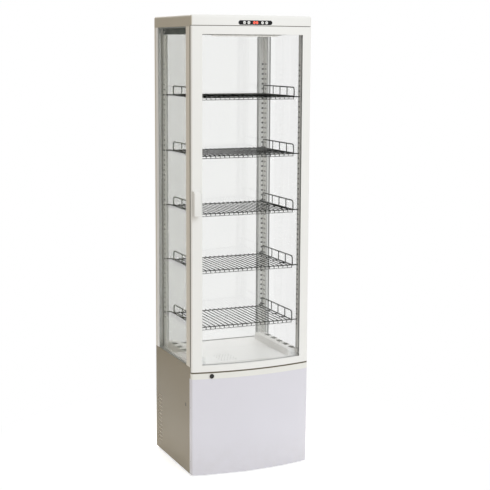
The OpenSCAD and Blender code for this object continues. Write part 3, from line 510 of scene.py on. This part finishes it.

# Countersunk screws. Each cross recess is a thin black cross on the head: painted shade of the recess.
screws = bmesh.new()
side_screws = [(y, z, 0.0023) for y in (-0.129, 0.18) for z in (0.288, 0.028)]
side_screws += [(-0.184, 0.288, 0.0018), (-0.184, 0.062, 0.0018)]
for side in (-1, 1):
    for y, z, r in side_screws:
        head = [(0, 0.0002), (r * 0.8, 0.0002), (r, 0), (r, -0.0009), (0, -0.0009)]
        turned(screws, head, (side * 0.2572, y, z), (side, 0, 0), steps=24)
        for turn in (20, 110):
            spot = Matrix.Translation((side * 0.25735, y, z)) @ Matrix.Rotation(math.radians(turn), 4, "X")
            slit = spot @ Matrix.Diagonal((0.0002, r * 1.3, r * 0.35, 1))
            cross = bmesh.ops.create_cube(screws, size=1, matrix=slit)
            # Painted shade: the cross takes the black second finish.
            for face in {f for v in cross["verts"] for f in v.link_faces}:
                face.material_index = 1
screws = new_piece("panel_screw_heads", screws, "cabinet", "screw_zinc", screw_zinc, black_rubber)
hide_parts("panel_screws")

# ---------------------------------------------------------------- lock strip and lock
# A cream moulded strip closes the gap between the base and the door. The cam lock in it has a
# black-plated housing with a rounded flange, and a dark keyed plug.


def shade_band(finish, axis, start, full, colour):
    """A darker colour painted over part of a finish, as painted shade: none of it at start, all of it from full on.
    """
    tree, skin, place = finish_parts(finish)
    along = calc(tree, "ABSOLUTE", shader(tree, "ShaderNodeSeparateXYZ", {0: place}).outputs[axis])
    paint_over(tree, skin, ramp(tree, along, taken=(start, full), kind="SMOOTHSTEP"), colour)


strip_plastic = plastic_finish("strip_plastic", (0.80, 0.795, 0.765, 1), roughness=0.4, grain=0.00005)
# Painted shade: the strip's top edge is darkened, for the gap under the door.
shade_band(strip_plastic, "Z", start=0.4308, full=0.4316, colour=(0.22, 0.19, 0.13, 1))
finish_node(strip_plastic, "lock_strip")
black_chrome = clouded_finish(
    "black_chrome", (0.035, 0.034, 0.034, 1), amount=0.25, size=120.0, roughness=0.18, gloss=0.2, metallic=0.7)[0]
lock_plug = plastic_finish("lock_plug", (0.018, 0.017, 0.016, 1), roughness=0.3, grain=0.00003)
finish_node(lock_plug, "lock_barrel")

flange = bmesh.new()
flange_edge = [
    (0.008, 0.016), (0.008, 0.0023), (0.0094, 0.002), (0.0094, 0.0011), (0.0091, 0.0004), (0.0084, 0),
    (0.0066, 0), (0.0058, 0.0003), (0.00556, 0.0009), (0.00556, 0.016), (0.008, 0.016)]
lock_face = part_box("lock_housing")[0].y
turned(flange, flange_edge, (-0.1775, lock_face, 0.419), (0, 1, 0), steps=48)
flange = new_piece("lock_flange", flange, "cabinet", "black_plastic", black_chrome)
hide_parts("lock_housing")

# ---------------------------------------------------------------- compartment floor
# A foam-filled deck with a white floor tray on it. Return air is drawn through a patch of holes
# over a pale screen, and cold air leaves two moulded ducts along the side glass.

liner_plastic = plastic_finish("liner_plastic", (0.95, 0.95, 0.945, 1), roughness=0.42, grain=0.00006)
finish_node(liner_plastic, "insulated_deck", "floor_tray")
screen_plastic = plastic_finish("screen_plastic", (0.52, 0.53, 0.53, 1), roughness=0.6, grain=0.0002)
# One grey: the drain clip's own colour, and painted shade in the sunk duct outlets.
outlet_shade_and_drain_grey = plastic_finish("outlet_shade_and_drain_grey", (0.45, 0.455, 0.44, 1), roughness=0.6, grain=0.0001)


def block(shape, low, high, edge=0.0):
    """A rectangular block between two corners, with its edges rounded."""
    low, high = Vector(low), Vector(high)
    stand = Matrix.Translation((low + high) / 2) @ Matrix.Diagonal((*(high - low), 1))
    made = bmesh.ops.create_cube(shape, size=1, matrix=stand)["verts"]
    if edge:
        rounded(shape, {e for v in made for e in v.link_edges}, edge)


screen = bmesh.new()
block(screen, (-0.112, -0.141, 0.4537), (-0.024, -0.037, 0.4547), 0.0003)
new_piece("return_air_screen", screen, "cabinet", "liner", screen_plastic)

drain = bmesh.new()
drain_edge = [(0, 0.0006), (0.0035, 0.0006), (0.004, 0.002), (0.0075, 0.0024), (0.008, 0.0014), (0.008, 0), (0, 0)]
turned(drain, drain_edge, (-0.158, -0.066, 0.458), (0, 0, 1), steps=28)
block(drain, (-0.1595, -0.0745, 0.4592), (-0.1565, -0.0575, 0.4618), 0.0006)
new_piece("drain_clip", drain, "cabinet", "black_plastic", outlet_shade_and_drain_grey)

# Each cover has five outlets in its top, sunk between ribs, and a nose that slopes down in front.
(inner, front, foot), (outer, back, top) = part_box("right_air_duct")
outlets, outlet_pitch, first_outlet, outlet_deep = 5, 0.06, front + 0.042, 0.022
lengths = [front, front + 0.006, front + 0.018]
for i in range(outlets):
    lengths += [front + 0.024 + outlet_pitch * i, front + 0.06 + outlet_pitch * i]
lengths.append(back)
section = [(inner, foot), (inner + 0.0038, top - 0.0022), (inner + 0.0062, top), (outer - outlet_deep, top),
           (outer, top), (outer, foot)]
for name, side in (("right_duct_cover", 1), ("left_duct_cover", -1)):
    cover = bmesh.new()
    loops = [[cover.verts.new((x, y, z)) for x, z in section] for y in lengths]
    for one, two in zip(loops, loops[1:]):
        for i in range(len(section) - 1):
            cover.faces.new((one[i], one[i + 1], two[i + 1], two[i]))
    cover.faces.new(loops[0])
    cover.faces.new(loops[-1])
    for loop, drop, tuck in ((loops[0], 0.012, 0.013), (loops[1], 0.0045, 0.0045)):  # the nose is rounded
        for v in loop[1:5]:
            v.co.z -= drop
        for v in loop[0:4]:
            v.co.x += tuck
    cover.normal_update()
    bays = [f for f in cover.faces if f.normal.z > 0.9 or f.normal.z < -0.9]
    bays = [f for f in bays if min(v.co.x for v in f.verts) > outer - outlet_deep - 0.0001]
    bays = [f for f in bays if abs(f.calc_center_median().z - top) < 1e-4]
    spots = [first_outlet + outlet_pitch * i for i in range(outlets)]
    bays = [f for f in bays if any(abs(f.calc_center_median().y - y) < 0.002 for y in spots)]
    sunk = bmesh.ops.inset_individual(cover, faces=bays, thickness=0.0006, depth=-0.011)
    # Painted shade: the sunk outlet bays take the darker grey.
    for f in bays + sunk["faces"]:
        f.material_index = 1
    rounded(cover, [e for e in cover.edges if e.is_manifold and e.calc_face_angle(0) > 0.5], 0.0014, 3, clamp=True)
    if side < 0:
        every = cover.verts[:] + cover.edges[:] + cover.faces[:]
        bmesh.ops.mirror(cover, geom=every, axis="X", merge_dist=-1)
        bmesh.ops.delete(cover, geom=[v for v in cover.verts if v.co.x > 0], context="VERTS")
    cover = new_piece(name, cover, "cabinet", "liner", liner_plastic, outlet_shade_and_drain_grey)
    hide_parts(name.split("_")[0] + "_air_duct")

# ---------------------------------------------------------------- posts and shelf standards
# Four corner posts carry the header. A punched steel standard is fixed to the inner face of each,
# and a near-black strip stands in the channel behind its holes: painted shade, so that the holes read dark.

# The one steel is painted in lit and shaded tones: at the back the punched band is bright, and the
# folded lip and the side leg are duller. The front pair is duller all over. This is painted light and shade.
standard_steel, tree, skin, place = start_finish("standard_steel")
along = shader(tree, "ShaderNodeSeparateXYZ", {0: place}).outputs
across = calc(tree, "ABSOLUTE", along["X"])
lip = calc(tree, "LESS_THAN", across, 0.2217)
rear_pair = calc(tree, "GREATER_THAN", along["Y"], 0.0)
leg = calc(tree, "MULTIPLY", calc(tree, "COMPARE", across, 0.2307, 0.0006), rear_pair)
# Painted light and shade: lit and shaded tones of the one steel.
tone = blend(tree, calc(tree, "MAXIMUM", lip, leg), (0.97, 0.97, 0.96, 1), (0.80, 0.805, 0.79, 1))
tone = blend(tree, rear_pair, (0.52, 0.52, 0.50, 1), tone)
worked = dress(tree, skin, drawn, {"Vector": place, "Stretch": (900, 900, 6), "Color": tone,
                                   "Amount": 0.12, "Roughness": 0.45})
skin.inputs["Metallic"].default_value = 0.15
raise_skin(tree, skin, worked["Height"], depth=0.00001)

# A dark disc, a little wider than the hole, is painted on each punched hole: painted shade that makes the holes
# read dark. The holes are 21 mm apart.
first_hole, half_pitch = 0.587, 0.0105
level = calc(tree, "PINGPONG", calc(tree, "SUBTRACT", along["Z"], first_hole), half_pitch)
front_line = calc(tree, "ADD", along["Y"], 0.150)
side_line = calc(tree, "SUBTRACT", along["Y"], 0.186)
leg_line = calc(tree, "SUBTRACT", across, 0.226)
lines = [calc(tree, "MULTIPLY", calc(tree, "ABSOLUTE", line), narrow)
         for line, narrow in ((front_line, 0.7), (side_line, 0.7), (leg_line, 0.8))]
nearest = calc(tree, "MINIMUM", calc(tree, "MINIMUM", lines[0], lines[1]), lines[2])
offset = shader(tree, "ShaderNodeCombineXYZ", {0: nearest, 1: level}).outputs[0]
away = shader(tree, "ShaderNodeVectorMath", {0: offset}, operation="LENGTH").outputs["Value"]
# Painted shade round each hole.
painted_hole_shade = ramp(tree, away, taken=(0.0036, 0.0042), given=(1, 0))
punched = calc(tree, "COMPARE", along["Z"], 1.1225, 0.541)
paint_over(tree, skin, calc(tree, "MULTIPLY", painted_hole_shade, punched), (0.02, 0.02, 0.02, 1))
finish_node(standard_steel, "front_left_standard", "front_right_standard", "rear_left_standard",
            "rear_right_standard")

# Outside, the posts are painted beige, a darker and warmer copy of the white frame: painted shade of
# the sides. Their inner faces are bare drawn metal. The edge that the door closes on is painted near
# black: painted shade of the gap between post and door.
post_skin, tree, skin, place = start_finish("post_skin")
along = shader(tree, "ShaderNodeSeparateXYZ", {0: place}).outputs
across = calc(tree, "ABSOLUTE", along["X"])
flank = calc(tree, "GREATER_THAN", across, 0.2571)
rear = calc(tree, "GREATER_THAN", along["Y"], 0.2306)
bare = calc(tree, "COMPARE", along["Y"], 0.2, 0.0155)
shoulder = calc(tree, "MULTIPLY", calc(tree, "GREATER_THAN", across, 0.2345), bare)
outside = calc(tree, "MAXIMUM", calc(tree, "MAXIMUM", flank, rear), shoulder)
# Painted shade: the front edge beside the door.
edge = calc(tree, "LESS_THAN", along["Y"], -0.1800)
# Painted shade: the beige of the posts' outsides.
beige = blend(tree, bare, (0.76, 0.72, 0.64, 1), (0.93, 0.92, 0.91, 1))
painted = {"Vector": place, "Color": beige, "Dust": 0.0, "Peel": 520.0}
painted = shader(tree, "ShaderNodeGroup", painted, node_tree=coat).outputs
metal = {"Vector": place, "Stretch": (900, 900, 6), "Color": (0.68, 0.69, 0.67, 1), "Amount": 0.2,
         "Roughness": 0.42}
metal = shader(tree, "ShaderNodeGroup", metal, node_tree=drawn).outputs
faced = blend(tree, outside, metal["Color"], painted["Color"])
tree.links.new(blend(tree, edge, faced, (0.085, 0.07, 0.05, 1)), skin.inputs["Base Color"])
gloss = {0: outside, 2: metal["Roughness"], 3: painted["Roughness"]}
tree.links.new(shader(tree, "ShaderNodeMix", gloss).outputs[0], skin.inputs["Roughness"])
covered = calc(tree, "MAXIMUM", outside, edge)
tree.links.new(calc(tree, "SUBTRACT", 1.0, covered), skin.inputs["Metallic"])
raise_skin(tree, skin, painted["Height"], depth=0.00006)
finish_node(post_skin, "front_left_post", "front_right_post", "rear_left_post", "rear_right_post")

strips = bmesh.new()
for side in (-1, 1):
    x = sorted((side * 0.2334, side * 0.2338))
    block(strips, (x[0], -0.1555, 0.46), (x[1], -0.1445, 1.778))
    x = sorted((side * 0.2205, side * 0.2315))
    block(strips, (x[0], 0.2062, 0.46), (x[1], 0.2066, 1.778))
# On the left rear post two more strips give its dark edge lines: the outer one a glazing seal, the inner one
# painted shade at the rear leg's edge.
block(strips, (-0.2114, 0.2068, 0.4585), (-0.2088, 0.2128, 1.777), 0.0006)
block(strips, (-0.2398, 0.1855, 0.4585), (-0.2386, 0.1905, 1.777), 0.0004)
channel_shade_and_seal = plastic_finish("channel_shade_and_seal", (0.006, 0.006, 0.006, 1), roughness=0.8, grain=0.0001)
new_piece("channel_strips", strips, "cabinet", "black_rubber", channel_shade_and_seal)

# ---------------------------------------------------------------- side and rear glass
# Sealed units of two clear panes with a drawn metal spacer round the edge. Light passes through
# them, so that the goods inside are lit.


def glass_finish(name, tint, shown):
    """Polished float glass with a faint smear. Most of it is see-through, so shelves stay sharp."""
    finish, tree, skin, place = start_finish(name)
    skin.inputs["Transmission Weight"].default_value = 1.0
    skin.inputs["Roughness"].default_value = 0.0
    skin.inputs["IOR"].default_value = 1.45
    haze = ramp(tree, noise(tree, place, scale=5.0, detail=5.0), taken=(0.45, 0.75))
    smeared = tuple(v * 0.92 for v in tint[:3]) + (1,)
    tree.links.new(blend(tree, haze, tint, smeared), skin.inputs["Base Color"])
    path = tree.nodes.new("ShaderNodeLightPath").outputs
    lighting = calc(tree, "MAXIMUM", path["Is Shadow Ray"], path["Is Diffuse Ray"])
    tree.links.new(ramp(tree, lighting, given=(shown, 0.01)), skin.inputs["Alpha"])
    return finish


# One glass in three copies. The right panes are clearer and lighter, and the left panes darker with more of their
# tint shown: painted light and shade for how each side of the case reads.
clear_glass = glass_finish("clear_glass", (0.50, 0.52, 0.48, 1), shown=0.06)
lit_right_glass = glass_finish("lit_right_glass", (0.70, 0.72, 0.68, 1), shown=0.015)
shaded_left_glass = glass_finish("shaded_left_glass", (0.30, 0.32, 0.22, 1), shown=0.16)
finish_node(clear_glass, "rear_glass_panes", "door_glass_panes")
finish_node(lit_right_glass, "right_glass_panes")
finish_node(shaded_left_glass, "left_glass_panes")
spacer_metal = metal_finish(
    "spacer_metal", (0.74, 0.75, 0.73, 1), stretch=(900, 900, 6), amount=0.3, roughness=0.4, depth=0.00003)
finish_node(spacer_metal, "glazing_spacers")
bright_spacer = metal_finish(
    "bright_spacer", (0.45, 0.46, 0.44, 1), stretch=(900, 900, 6), amount=0.3, roughness=0.4, depth=0.00003)
finish_node(bright_spacer, "door_spacer")

# ---------------------------------------------------------------- ceiling and lamp
# The ceiling is an insulated panel, painted dark grey: painted shade of the top of the inside. The lamp
# under it has a white body, painted mid grey as painted shade, and a frosted lens with fine ribs.

# Painted shade: the ceiling's dark grey.
ceiling_shade_paint = paint_finish("ceiling_shade_paint", (0.075, 0.09, 0.085, 1), roughness=0.45, dust=0.0, peel=500.0)
finish_node(ceiling_shade_paint, "ceiling_panel")
# Painted shade: the white lamp body is given as mid grey.
shaded_lamp_body = plastic_finish("shaded_lamp_body", (0.55, 0.56, 0.55, 1), roughness=0.45, grain=0.00005)
finish_node(shaded_lamp_body, "ceiling_lamp")
frosted_lens, tree, skin, place = start_finish("frosted_lens")
ribs = shader(tree, "ShaderNodeTexWave", {"Vector": place, "Scale": 80.0, "Distortion": 0.0},
              wave_type="BANDS", bands_direction="X").outputs["Fac"]
tone = ramp(tree, ribs, given=(0.78, 0.88))
grey = shader(tree, "ShaderNodeCombineColor", {0: tone, 1: tone, 2: tone}).outputs[0]
tree.links.new(grey, skin.inputs["Base Color"])
skin.inputs["Roughness"].default_value = 0.35
skin.inputs["Emission Color"].default_value = (1.0, 0.99, 0.95, 1)
skin.inputs["Emission Strength"].default_value = 0.3
skin.inputs["Subsurface Weight"].default_value = 0.2
skin.inputs["Subsurface Radius"].default_value = (0.004, 0.004, 0.004)
raise_skin(tree, skin, ribs, depth=0.0004)
finish_node(frosted_lens, "lamp_lens")

# ---------------------------------------------------------------- header and controls
# The header is a white moulded cap with a soft top edge. In its front is a glossy black panel
# with two round keys on each side of a two-digit display.

cap_plastic = plastic_finish("cap_plastic", (0.84, 0.838, 0.825, 1), roughness=0.36, grain=0.00005, coat=0.15)
# Painted shade: the header's two ends are darkened to beige, for the sides turned from the lamp.
shade_band(cap_plastic, "X", start=0.2535, full=0.2572, colour=(0.56, 0.515, 0.43, 1))
finish_node(cap_plastic, "header_shell")
gloss_black = plastic_finish("gloss_black", (0.008, 0.008, 0.009, 1), roughness=0.3, grain=0.00001)
gloss_black.node_tree.nodes["Principled BSDF"].inputs["IOR"].default_value = 1.3
finish_node(gloss_black, "control_panel")
smoked_red = plastic_finish("smoked_red", (0.13, 0.055, 0.048, 1), roughness=0.2, grain=0.00001, coat=0.3)
finish_node(smoked_red, "display_window")

lit_segment, tree, skin, place = start_finish("lit_segment")
skin.inputs["Base Color"].default_value = (0.9, 0.12, 0.03, 1)
cells = shader(tree, "ShaderNodeTexVoronoi", {"Vector": place, "Scale": 1500.0}).outputs["Distance"]
glow = scaled(tree, (0.92, 0.34, 0.20), ramp(tree, cells, given=(1.0, 0.75)))
tree.links.new(glow, skin.inputs["Emission Color"])
skin.inputs["Emission Strength"].default_value = 1.0

# Each digit is made of lit bars, a to g, slanted a little. A bar is given by its middle and
# whether it stands up.
window_low, window_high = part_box("display_window")
window_front, window_level = window_low.y - 0.00005, (window_low.z + window_high.z) / 2
half_wide, half_high, half_bar = 0.0028, 0.0036, 0.00085
bars = {
    "a": (0, 2 * half_high, 0), "b": (half_wide, 1.5 * half_high, 1), "c": (half_wide, 0.5 * half_high, 1),
    "d": (0, 0, 0), "e": (-half_wide, 0.5 * half_high, 1), "f": (-half_wide, 1.5 * half_high, 1),
    "g": (0, half_high, 0)}
digits = bmesh.new()
for lit, middle in (("abcdef", -0.0058), ("acdfg", 0.0058)):
    for letter in lit:
        x, z, up = bars[letter]
        end = (half_high if up else 2 * half_wide) / 2 - 0.0003
        points = [(-end, 0), (-end + half_bar, half_bar), (end - half_bar, half_bar), (end, 0),
                  (end - half_bar, -half_bar), (-end + half_bar, -half_bar)]
        lean = 0.1 * (z - half_high)
        flat = [digits.verts.new((middle + x + lean + (b if up else a), window_front,
                                  window_level - half_high + z + (a if up else b))) for a, b in points]
        bmesh.ops.solidify(digits, geom=[digits.faces.new(flat)], thickness=0.0001)
new_piece("display_digits", digits, "cabinet", "display_red", lit_segment)

key_plastic = plastic_finish("key_plastic", (0.86, 0.86, 0.85, 1), roughness=0.3, grain=0.00003)
mark_ink = plastic_finish("mark_ink", (0.05, 0.05, 0.055, 1), roughness=0.5, grain=0.00003)
mark_thick = 0.0002
for kind in ("set", "down", "up", "light"):
    body, node_name = kind + "_key", kind + "_button"
    low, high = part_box(node_name)
    centre = (low + high) / 2
    key = bmesh.new()
    dish = [(0, high.y - low.y), (0.006, high.y - low.y), (0.006, 0.0011), (0.0057, 0.0004), (0.005, 0.00002),
            (0.0044, 0.00012), (0.0028, 0.0005), (0, 0.0006)]
    turned(key, dish, (centre.x, low.y, centre.z), (0, 1, 0), steps=40)
    key = new_piece(kind + "_key_cap", key, body, "button_white", key_plastic)
    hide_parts(node_name)
    mark = bmesh.new()
    face_y = low.y + 0.00046
    if kind in ("up", "down"):
        point = Matrix.Rotation(math.radians(90 if kind == "down" else -90), 4, "Y")
        stand = Matrix.Translation((centre.x, face_y, centre.z)) @ point @ Matrix.Rotation(math.radians(90), 4, "X")
        bar(mark, sides=3, radius=0.0021, long=mark_thick, stand=stand)
    else:
        spot = (centre.x, face_y - 0.0001, centre.z)
        ring = [(0.0016, 0), (0.0023, 0), (0.0023, mark_thick), (0.0016, mark_thick), (0.0016, 0)]
        turned(mark, ring, spot, (0, 1, 0), steps=28)
        if kind == "light":
            turned(mark, [(0, 0), (0.0008, 0), (0.0008, mark_thick), (0, mark_thick)], spot, (0, 1, 0), steps=20)
    new_piece(kind + "_mark", mark, body, "black_plastic", mark_ink)

# ---------------------------------------------------------------- wire shelves
# Five shelves of welded steel wire, dull chrome plated. The two frame wires end in hooks that
# hang in the standards.

wire_chrome, tree, skin, place = clouded_finish(
    "wire_chrome", (0.05, 0.053, 0.047, 1), amount=0.6, size=35.0, roughness=0.31, gloss=0.3, metallic=1.0)
skin.inputs["Specular Tint"].default_value = (0.3, 0.3, 0.3, 1)
finish_node(wire_chrome, "hinge_pins")


def bent(corners, radius):
    """The line of a wire through its corners, with each corner bent round."""
    line = [Vector(corners[0])]
    for before, corner, after in zip(corners, corners[1:], corners[2:]):
        before, corner, after = Vector(before), Vector(corner), Vector(after)
        start = corner + (before - corner).normalized() * radius
        end = corner + (after - corner).normalized() * radius
        line += [start * (1 - t) ** 2 + corner * 2 * t * (1 - t) + end * t * t for t in (0, 0.25, 0.5, 0.75, 1)]
    return line + [Vector(corners[-1])]


def wire(rack, points, radius):
    """Adds a wire to a rack's curve, whose bevel is 1 mm in radius."""
    run = rack.splines.new("POLY")
    run.points.add(len(points) - 1)
    for spot, at in zip(run.points, points):
        spot.co = (*at, 1)
        spot.radius = radius * 1000


side_x, hook_x, rear_y, hook_y = 0.205, 0.236, 0.149, 0.186
for number in range(1, 6):
    name = "shelf_%d" % number
    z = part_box(name)[0].z + 0.0107
    rack = bpy.data.curves.new(name + "_line", "CURVE")
    rack.dimensions = "3D"
    rack.bevel_depth = 0.001
    rack.bevel_resolution = 2
    rack.use_fill_caps = True
    for i in range(21):
        x = (i - 10) * 0.02
        rod = [(x, 0.153, z + 0.0035), (x, -0.1594, z + 0.0035), (x, -0.1594, z - 0.0085)]
        wire(rack, bent(rod, 0.003), 0.0018)
    wire(rack, [(-0.202, -0.1605, z - 0.0085), (0.202, -0.1605, z - 0.0085)], 0.0012)
    wire(rack, [(-hook_x, -0.15, z), (hook_x, -0.15, z)], 0.0022)
    wire(rack, [(-side_x, rear_y, z), (side_x, rear_y, z)], 0.0022)
    for y in (-0.087, -0.019, 0.049):
        for side in (-1, 1):
            stay = [(side * side_x, y, z + 0.0375), (side * side_x, y, z), (side * 0.178, y, z)]
            wire(rack, bent(stay, 0.008), 0.0022)
    for side in (-1, 1):
        x = side * side_x
        rail = [(x, -0.155, z - 0.001), (x, -0.155, z + 0.0381), (x, rear_y, z + 0.0381), (x, rear_y, z - 0.001)]
        wire(rack, bent(rail, 0.013), 0.0025)
        wire(rack, bent([(x, -0.157, z), (x, hook_y, z), (side * hook_x, hook_y, z)], 0.008), 0.0023)
    drawn_rack = bpy.data.objects.new(name + "_line", rack)
    shelf = bmesh.new()
    shelf.from_mesh(drawn_rack.to_mesh())
    bpy.data.objects.remove(drawn_rack)
    shelf = new_piece(name + "_wires", shelf, "cabinet", "chrome_wire", wire_chrome)
    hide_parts(name)

# ---------------------------------------------------------------- sill and head strips
# A thin dark olive strip fills the gap under the door and another the gap above it: painted shade.
# Both follow the bow of the front.

# Painted shade: the strips' dark olive stands for the shade in the gaps.
gap_shade_vinyl = plastic_finish("gap_shade_vinyl", (0.085, 0.07, 0.042, 1), roughness=0.7, grain=0.0001)


def skinned(shape, one, two):
    """Closes the space between two loops of four points."""
    for i in range(4):
        shape.faces.new((one[i], one[(i + 1) % 4], two[(i + 1) % 4], two[i]))


bow_radius, bow_centre, half_strip = 1.1183, 0.891104, 0.2525
strips = bmesh.new()
for low, high in ((0.4325, 0.4344), (1.8111, 1.813)):
    band = []
    for i in range(33):
        x = (i / 16 - 1) * half_strip
        front = bow_centre - math.sqrt(bow_radius ** 2 - x * x)
        corners = ((0, low), (0.006, low), (0.006, high), (0, high))
        band.append([strips.verts.new((x, front + deep, z)) for deep, z in corners])
    for one, two in zip(band, band[1:]):
        skinned(strips, one, two)
    strips.faces.new(band[0])
    strips.faces.new(band[-1])
new_piece("door_gap_strips", strips, "cabinet", "gasket_rubber", gap_shade_vinyl)

# ---------------------------------------------------------------- door
# A white moulded frame with a bowed front holds two curved panes. A grey bellows gasket runs
# round its back, and a hollow pull with a slanted top stands on its free stile.

door_plastic = plastic_finish("door_plastic", (0.84, 0.838, 0.825, 1), roughness=0.34, grain=0.00005, coat=0.15)
# A dark band is painted along the door's lower edge: painted shade of the gap under it.
tree, skin, place = finish_parts(door_plastic)
height = shader(tree, "ShaderNodeSeparateXYZ", {0: place}).outputs["Z"]
paint_over(tree, skin, ramp(tree, height, taken=(0.4368, 0.4376), given=(1, 0)), (0.15, 0.125, 0.08, 1))
finish_node(door_plastic, "door_frame")

gasket_vinyl = plastic_finish("gasket_vinyl", (0.60, 0.595, 0.575, 1), roughness=0.55, grain=0.0001)
(left, front, bottom), (right, back, top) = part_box("door_gasket")
outline = [
    (0, front), (0, front + 0.0012), (0.0009, front + 0.0019), (0, front + 0.0026), (0.0009, back),
    (0.0052, back), (0.0061, back - 0.0007), (0.0070, back), (0.0131, back), (0.014, front + 0.0026),
    (0.0131, front + 0.0019), (0.014, front + 0.0012), (0.014, front)]
seal = bmesh.new()
rings = []
for inset, y in outline:
    corners = ((left + inset, bottom + inset), (right - inset, bottom + inset),
               (right - inset, top - inset), (left + inset, top - inset))
    rings.append([seal.verts.new((x, y, z)) for x, z in corners])
for one, two in zip(rings, rings[1:] + rings[:1]):
    skinned(seal, one, two)
seal = new_piece("gasket_bellows", seal, "door", "gasket_rubber", gasket_vinyl, sharp=25)
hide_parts("door_gasket")

# The pull is a block whose top is cut back and whose free side is hollowed, with grip ribs behind.
pull_low, pull_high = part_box("door_handle")
pull = bmesh.new()
block(pull, (pull_low.x, pull_low.y + 0.0005, pull_low.z), (pull_high.x, pull_low.y + 0.034, pull_high.z))
every = pull.verts[:] + pull.edges[:] + pull.faces[:]
bmesh.ops.bisect_plane(pull, geom=every, plane_co=(0, 0, pull_high.z - 0.008), plane_no=(0, 0, 1))
for v in pull.verts:
    if v.co.z > pull_high.z - 0.001 and v.co.y < pull_low.y + 0.01:
        v.co.y += 0.012
pull.normal_update()
bmesh.ops.dissolve_faces(pull, faces=[f for f in pull.faces if f.normal.x > 0.9])
free_side = [f for f in pull.faces if f.normal.x > 0.9]
bmesh.ops.inset_region(pull, faces=free_side, thickness=0.0045, use_even_offset=True)
free_side = [f for f in pull.faces if f.normal.x > 0.9 and len(f.verts) > 4]
moved = bmesh.ops.extrude_face_region(pull, geom=free_side)
bmesh.ops.delete(pull, geom=free_side, context="FACES_ONLY")
floor_points = [v for v in moved["geom"] if isinstance(v, bmesh.types.BMVert)]
bmesh.ops.translate(pull, verts=floor_points, vec=(-0.0205, 0, 0))
rounded(pull, [e for e in pull.edges if e.is_manifold and e.calc_face_angle(0) > 0.3], 0.0016, 3, clamp=True)
for i in range(4):
    x = pull_low.x + 0.0052 + 0.0052 * i
    rib_top = (x + 0.0008, pull_low.y + 0.0012, pull_high.z - 0.0125)
    block(pull, (x - 0.0008, pull_low.y, pull_low.z + 0.006), rib_top, 0.0003)
pull = new_piece("door_pull", pull, "door", "white_plastic", door_plastic)
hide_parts("door_handle")
